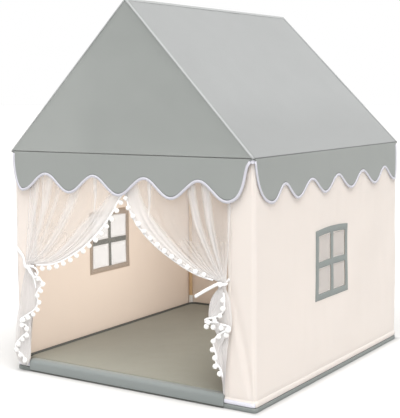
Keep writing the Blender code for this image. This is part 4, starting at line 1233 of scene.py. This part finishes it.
def matRim():
    mesh = bmesh.new()
    bmesh.ops.create_cube(mesh, size=1.0, calc_uvs=True)
    size = Vector((rimHigh.x - rimLow.x, rimHigh.y - rimLow.y, rimTop))
    bmesh.ops.scale(mesh, vec=size, verts=mesh.verts[:])
    middle = Vector((0, (rimLow.y + rimHigh.y) / 2, rimTop / 2))
    bmesh.ops.translate(mesh, vec=middle, verts=mesh.verts[:])
    upright = [edge for edge in mesh.edges if abs(edge.verts[0].co.z - edge.verts[1].co.z) > rimTop / 2]
    bmesh.ops.bevel(mesh, geom=upright, offset=mat["cornerRadius"], segments=8, profile=0.5, affect="EDGES",
                    material=-1)
    for height, edgeRadius in ((rimTop, 0.0045), (0, 0.003)):
        edges = [edge for edge in mesh.edges if all(abs(v.co.z - height) < 1e-5 for v in edge.verts)]
        bmesh.ops.bevel(mesh, geom=edges, offset=edgeRadius, segments=4, profile=0.5, affect="EDGES", material=-1)
    layer = mesh.loops.layers.uv.new("flat")
    for face in mesh.faces:
        for loop in face.loops:
            spot = loop.vert.co
            loop[layer].uv = (spot.x + spot.y * 0.5, spot.z + spot.y)
    rim = finishPiece("mat_rim", mesh, matRimShadedCloth)
    rim.data.set_sharp_from_angle(angle=radians(50))
    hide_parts("floor_mat")


def matPad():
    # one cloth over the foam: flat on top with a soft crown, rolled at the edge and down the sides
    r, roll = mat["padRadius"], mat["roll"]
    flatReach = r - roll

    def shape(x, y):
        core = Vector((min(max(x, r - padX), padX - r), min(max(y, r - halfY), halfY - r)))
        spill = Vector((x, y)) - core
        distance = max(abs(spill.x), abs(spill.y))
        way = spill.normalized() if distance else Vector((0, 0))
        over = distance - flatReach
        lift = mat["crown"] * min(1, 4 * max(min(1 - abs(x) / padX, 1 - abs(y) / halfY), 0)) ** 0.5
        if over <= 0:
            crease = mat["wrinkle"] * (waver(x, y, 0, 0.16, 100) + 0.4 * waver(x * 0.4, y, 0, 0.035, 101))
            spot = core + way * distance
            return Vector((spot.x, spot.y + middleY, padTop + lift + crease * min(1, lift / 0.003)))
        pull = 0.0
        if abs(spill.y) != abs(spill.x):
            share = x / padX if abs(spill.y) > abs(spill.x) else y / halfY
            pull = 0.0025 * dome((share + 1) / 2, 1.0)
        turn = min(over / roll, pi / 2)
        spot = core + way * (flatReach + (roll - pull) * sin(turn))
        z = padTop - roll * (1 - cos(turn)) - max(over - roll * pi / 2, 0)
        return Vector((spot.x, spot.y + middleY, z + lift))

    def spread(half):
        inner = half - r
        marks = (0, flatReach, flatReach + roll * pi / 2, r + padTop - rimTop + roll * (pi / 2 - 1) - 0.0002)
        beyond = []
        for start, end in zip(marks, marks[1:]):
            beyond += [inner + value for value in arcTurns(start, end, max(1, round((end - start) / 0.004)))[1:]]
        return [-value for value in reversed(beyond)] + ladder(2 * inner, 0.018, start=-inner) + beyond

    closedPiece("mat_pad", gridMesh(spread(padX), spread(halfY), shape), matTopCloth)


def matBorder():
    # rolled edge that stands along the walls; its near-black colour is a dark binding made darker as painted
    # shade of the gap by the walls
    size, corner = mat["borderRadius"], mat["padRadius"]
    halfX, long = padX - size * 0.3, halfY - size * 0.3
    straight = ladder(2 * long - corner, 0.03)[1:]
    path = [Vector((-halfX, padFront + 0.004)), *[Vector((-halfX, padFront + value)) for value in straight]]
    for side, start in ((-1, pi), (1, pi / 2)):
        centre = Vector((side * (halfX - corner), middleY + long - corner))
        path += [centre + Vector((cos(turn), sin(turn))) * corner for turn in arcTurns(start, start - pi / 2, 6)]
    path += [Vector((halfX, padFront + straight[-1] - value)) for value in straight[:-1]]
    path.append(Vector((halfX, padFront + 0.004)))

    def shape(station, turn):
        point, way, run = station
        swell = size * (1 + 0.06 * waver(run, 0, 0, 0.05, 110))
        spot = point + Vector((way.y, -way.x)) * swell * 0.7 * cos(turn)
        return Vector((spot.x, spot.y, padTop + 0.003 + swell * sin(turn)))

    border = sweptPiece("mat_border", stationsAlong(path), arcTurns(0, 2 * pi, 12)[:-1], shape, matBindingAndGapShade,
                        flat=lambda station, turn: (station[2], turn * size))


def frontFlap():
    # the mat's front edge, folded over the front rail: soft outside, flat inside, bound at its lower edge
    low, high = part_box("mat_front_flap")
    low.x -= mat["flapLeft"]  # its left end lies over the door side's foot
    high.x -= mat["flapRight"]
    corner, edgeSize = mat["flapCorner"], mat["flapEdge"]
    outer = [Vector((mix(high.y, low.y + corner, step / 6), high.z)) for step in range(6)]
    outer += [Vector((low.y + corner + corner * cos(turn), high.z - corner + corner * sin(turn)))
              for turn in arcTurns(pi / 2, pi, 8)]
    outer += [Vector((low.y, mix(high.z - corner, low.z, step / 7))) for step in range(1, 8)]
    facing = stationsAlong(outer)
    total = facing[-1][2]

    def shape(x, item):
        (point, run, length), face = item
        way = Vector((run.y, -run.x))
        share = length / total
        rounding = rolled(min(x - low.x, high.x - x), 0.003)
        puff = 0.0022 * dome(share, 0.7) + 0.0012 * dome(share, 0.5) * waver(x, share * 0.1, 0, 0.12, 120)
        out = puff - rounding if face > 0 else rounding * 0.2 - mat["flapThick"]
        spot = point - way * out if way.y < 0 or way.x > 0 else point + way * out
        return Vector((x, spot.x, spot.y))

    def edgeShape(x, turn):
        return Vector((x, low.y + 0.0012 + edgeSize * cos(turn), low.z + 0.0012 + edgeSize * sin(turn)))

    section = [(station, 1) for station in facing] + [(station, -1) for station in reversed(facing)]
    flap = sweptPiece("mat_front_flap", ladder(high.x - low.x, 0.014, closeSteps, low.x), section, shape,
                      matBandCloth, "mat_flap", flat=lambda x, item: (x, item[0][2] * item[1]))
    sweptPiece("mat_flap_edge", ladder(high.x - low.x, 0.03, start=low.x), arcTurns(0, 2 * pi, 10)[:-1],
               edgeShape, matBindingAndGapShade, "mat_flap", flat=lambda x, turn: (x, turn * 0.002))


matRim()
matPad()
matBorder()
frontFlap()
print("mat made")

# Frame: turned pine poles with rounded ends in moulded sockets
poles = {"radius": 0.008, "endRadius": 0.0025}


def poleEnds(name):
    # the ends of a pole's middle line, from the box of its solid
    low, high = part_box(name)
    size, middle, grow = high - low, (low + high) / 2, poles["radius"]
    if name.startswith("rafter"):
        tilt = (-1 if name.endswith("left") else 1, -1 if "front" in name else 1)
        half = Vector((tilt[0] * (size.x / 2 - grow * 0.7), tilt[1] * (size.y / 2 - grow),
                       grow * 0.7 - size.z / 2))
        return middle + half, middle - half
    axis = max(range(3), key=lambda i: size[i])
    start, end = middle.copy(), middle.copy()
    start[axis], end[axis] = low[axis], high[axis]
    return start, end


def pole(name):
    start, end = poleEnds(name)
    length = (end - start).length
    way = (end - start).normalized()
    across = way.orthogonal().normalized()
    beside = way.cross(across)

    def shape(run, turn):
        grow = poles["radius"] - rolled(min(run, length - run), poles["endRadius"])
        return start + way * run + (across * cos(turn) + beside * sin(turn)) * grow

    steps = ladder(length, 0.05, (0.0004, 0.0012, 0.0025))
    made = sweptPiece(name + "_turned", steps, arcTurns(0, 2 * pi, 20)[:-1], shape, pinePole,
                      flat=lambda run, turn: (turn * poles["radius"], run))
    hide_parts(name)


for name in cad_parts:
    if name.startswith(("base_rail", "eave_rail", "post", "rafter", "ridge_pole")):
        pole(name)
    elif "connector" in name:
        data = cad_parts[name].data
        data.materials.clear()
        data.materials.append(whitePlastic.material)
print("frame made")

# Studio: pale floor, white backdrop, soft light from above and a camera at the photograph's angle
studio = {"floor": (0.74, 0.74, 0.74), "contact": 0.035, "contactShade": 0.6, "litSide": 0.03, "world": 0.56,
          "yaw": 33.125, "pitch": 4.07, "roll": -0.475, "focal": 1009, "pictureHigh": 418, "axisRow": 164,
          "cameraPlace": (2.1736, -3.440, 1.0652), "glowSpread": 130}
suns = (("softbox at the front", (0.45, -0.85, 0.22), 0.16 * pi, 60, (1, 0.99, 0.98)),
        ("softbox overhead", (0.28, -0.32, 0.95), 1.0 * pi, 50, (1, 0.99, 0.975)))
# place, where it comes from, width, length and energy of the light that comes through the cloth all round
glows = (((0.0, -0.05, 0.93), (0.0, 0.0, 1.0), 0.55, 0.85, 0.3),
         ((0.37, 0.0, 0.40), (1.0, 0.22, -0.05), 0.85, 0.34, 4.1))


def makeFloor():
    mesh = bmesh.new()
    bmesh.ops.create_grid(mesh, x_segments=8, y_segments=8, size=60)
    paper = Finish("studio paper", None, 0.9, Specular_IOR_Level=0.0)
    # painted contact shadow: the paper is painted a little darker close round the tent's foot
    beside = []
    for axis in (0, 1):
        near = rimLow[axis] + (studio["litSide"] if axis == 0 else 0)
        middle, half = (near + rimHigh[axis]) / 2, (rimHigh[axis] - near) / 2
        spot = paper.node("ShaderNodeSeparateXYZ", inputs={0: paper.place()}, output=axis)
        beside.append((abs(spot - middle) - half).most(0) ** 2.0)
    away = ((beside[0] + beside[1]) ** 0.5 / studio["contact"]).least(1) ** 0.6
    paper.feed(Base_Color=paper.tint(away, rgb(studio["floor"], studio["contactShade"]), rgb(studio["floor"])))
    addMesh("studio_floor", mesh, paper)


def makeWorld():
    # white to the camera and in reflections, softer as light
    world = bpy.data.worlds.new("studio light")
    bpy.context.scene.world = world
    world.use_nodes = True
    tree = world.node_tree
    tree.nodes.clear()
    path, seen, blend, output = (tree.nodes.new("ShaderNode" + kind) for kind in
                                 ("LightPath", "Math", "MixShader", "OutputWorld"))
    seen.operation = "MAXIMUM"
    tree.links.new(path.outputs["Is Camera Ray"], seen.inputs[0])
    tree.links.new(path.outputs["Is Glossy Ray"], seen.inputs[1])
    tree.links.new(seen.outputs[0], blend.inputs[0])
    for socket, (colour, strength) in enumerate((((1, 0.985, 0.965, 1), studio["world"]), ((1, 1, 1, 1), 1.0))):
        light = tree.nodes.new("ShaderNodeBackground")
        light.inputs["Color"].default_value = colour
        light.inputs["Strength"].default_value = strength
        tree.links.new(light.outputs[0], blend.inputs[socket + 1])
    tree.links.new(blend.outputs[0], output.inputs["Surface"])


def makeLamp(name, kind, place, source, energy, colour):
    lamp = bpy.data.lights.new(name, kind)
    lamp.energy = energy
    lamp.color = colour
    shown = addObject(name, lamp)
    shown.location = place
    shown.rotation_euler = Vector(source).to_track_quat("Z", "Y").to_euler()
    return lamp, shown


def makeCamera():
    data = bpy.data.cameras.new("camera")
    data.lens = studio["focal"] / studio["pictureHigh"] * data.sensor_width
    data.shift_y = (studio["axisRow"] - studio["pictureHigh"] / 2) / studio["pictureHigh"]
    camera = addObject("camera", data)
    yaw, pitch, roll = (radians(studio[key]) for key in ("yaw", "pitch", "roll"))
    back = Vector((sin(yaw) * cos(pitch), -cos(yaw) * cos(pitch), sin(pitch)))
    level = Vector((0, 0, 1)).cross(back).normalized()
    upward = back.cross(level)
    turned = Matrix((level * cos(roll) + upward * sin(roll), upward * cos(roll) - level * sin(roll), back))
    camera.matrix_world = Matrix.Translation(studio["cameraPlace"]) @ turned.transposed().to_4x4()
    bpy.context.scene.camera = camera


makeFloor()
makeWorld()
for name, source, energy, angle, colour in suns:
    lamp, shown = makeLamp(name, "SUN", Vector(source) * 5, source, energy, colour)
    lamp.angle = radians(angle)
for index, (place, source, wide, long, energy) in enumerate(glows):
    lamp, shown = makeLamp("glow inside " + str(index + 1), "AREA", place, source, energy, (1, 0.97, 0.93))
    lamp.shape = "RECTANGLE"
    lamp.size, lamp.size_y = wide, long
    lamp.spread = radians(studio["glowSpread"])
    shown.visible_camera = False
makeCamera()
bpy.context.scene.view_settings.view_transform = "Standard"
print("studio ready")
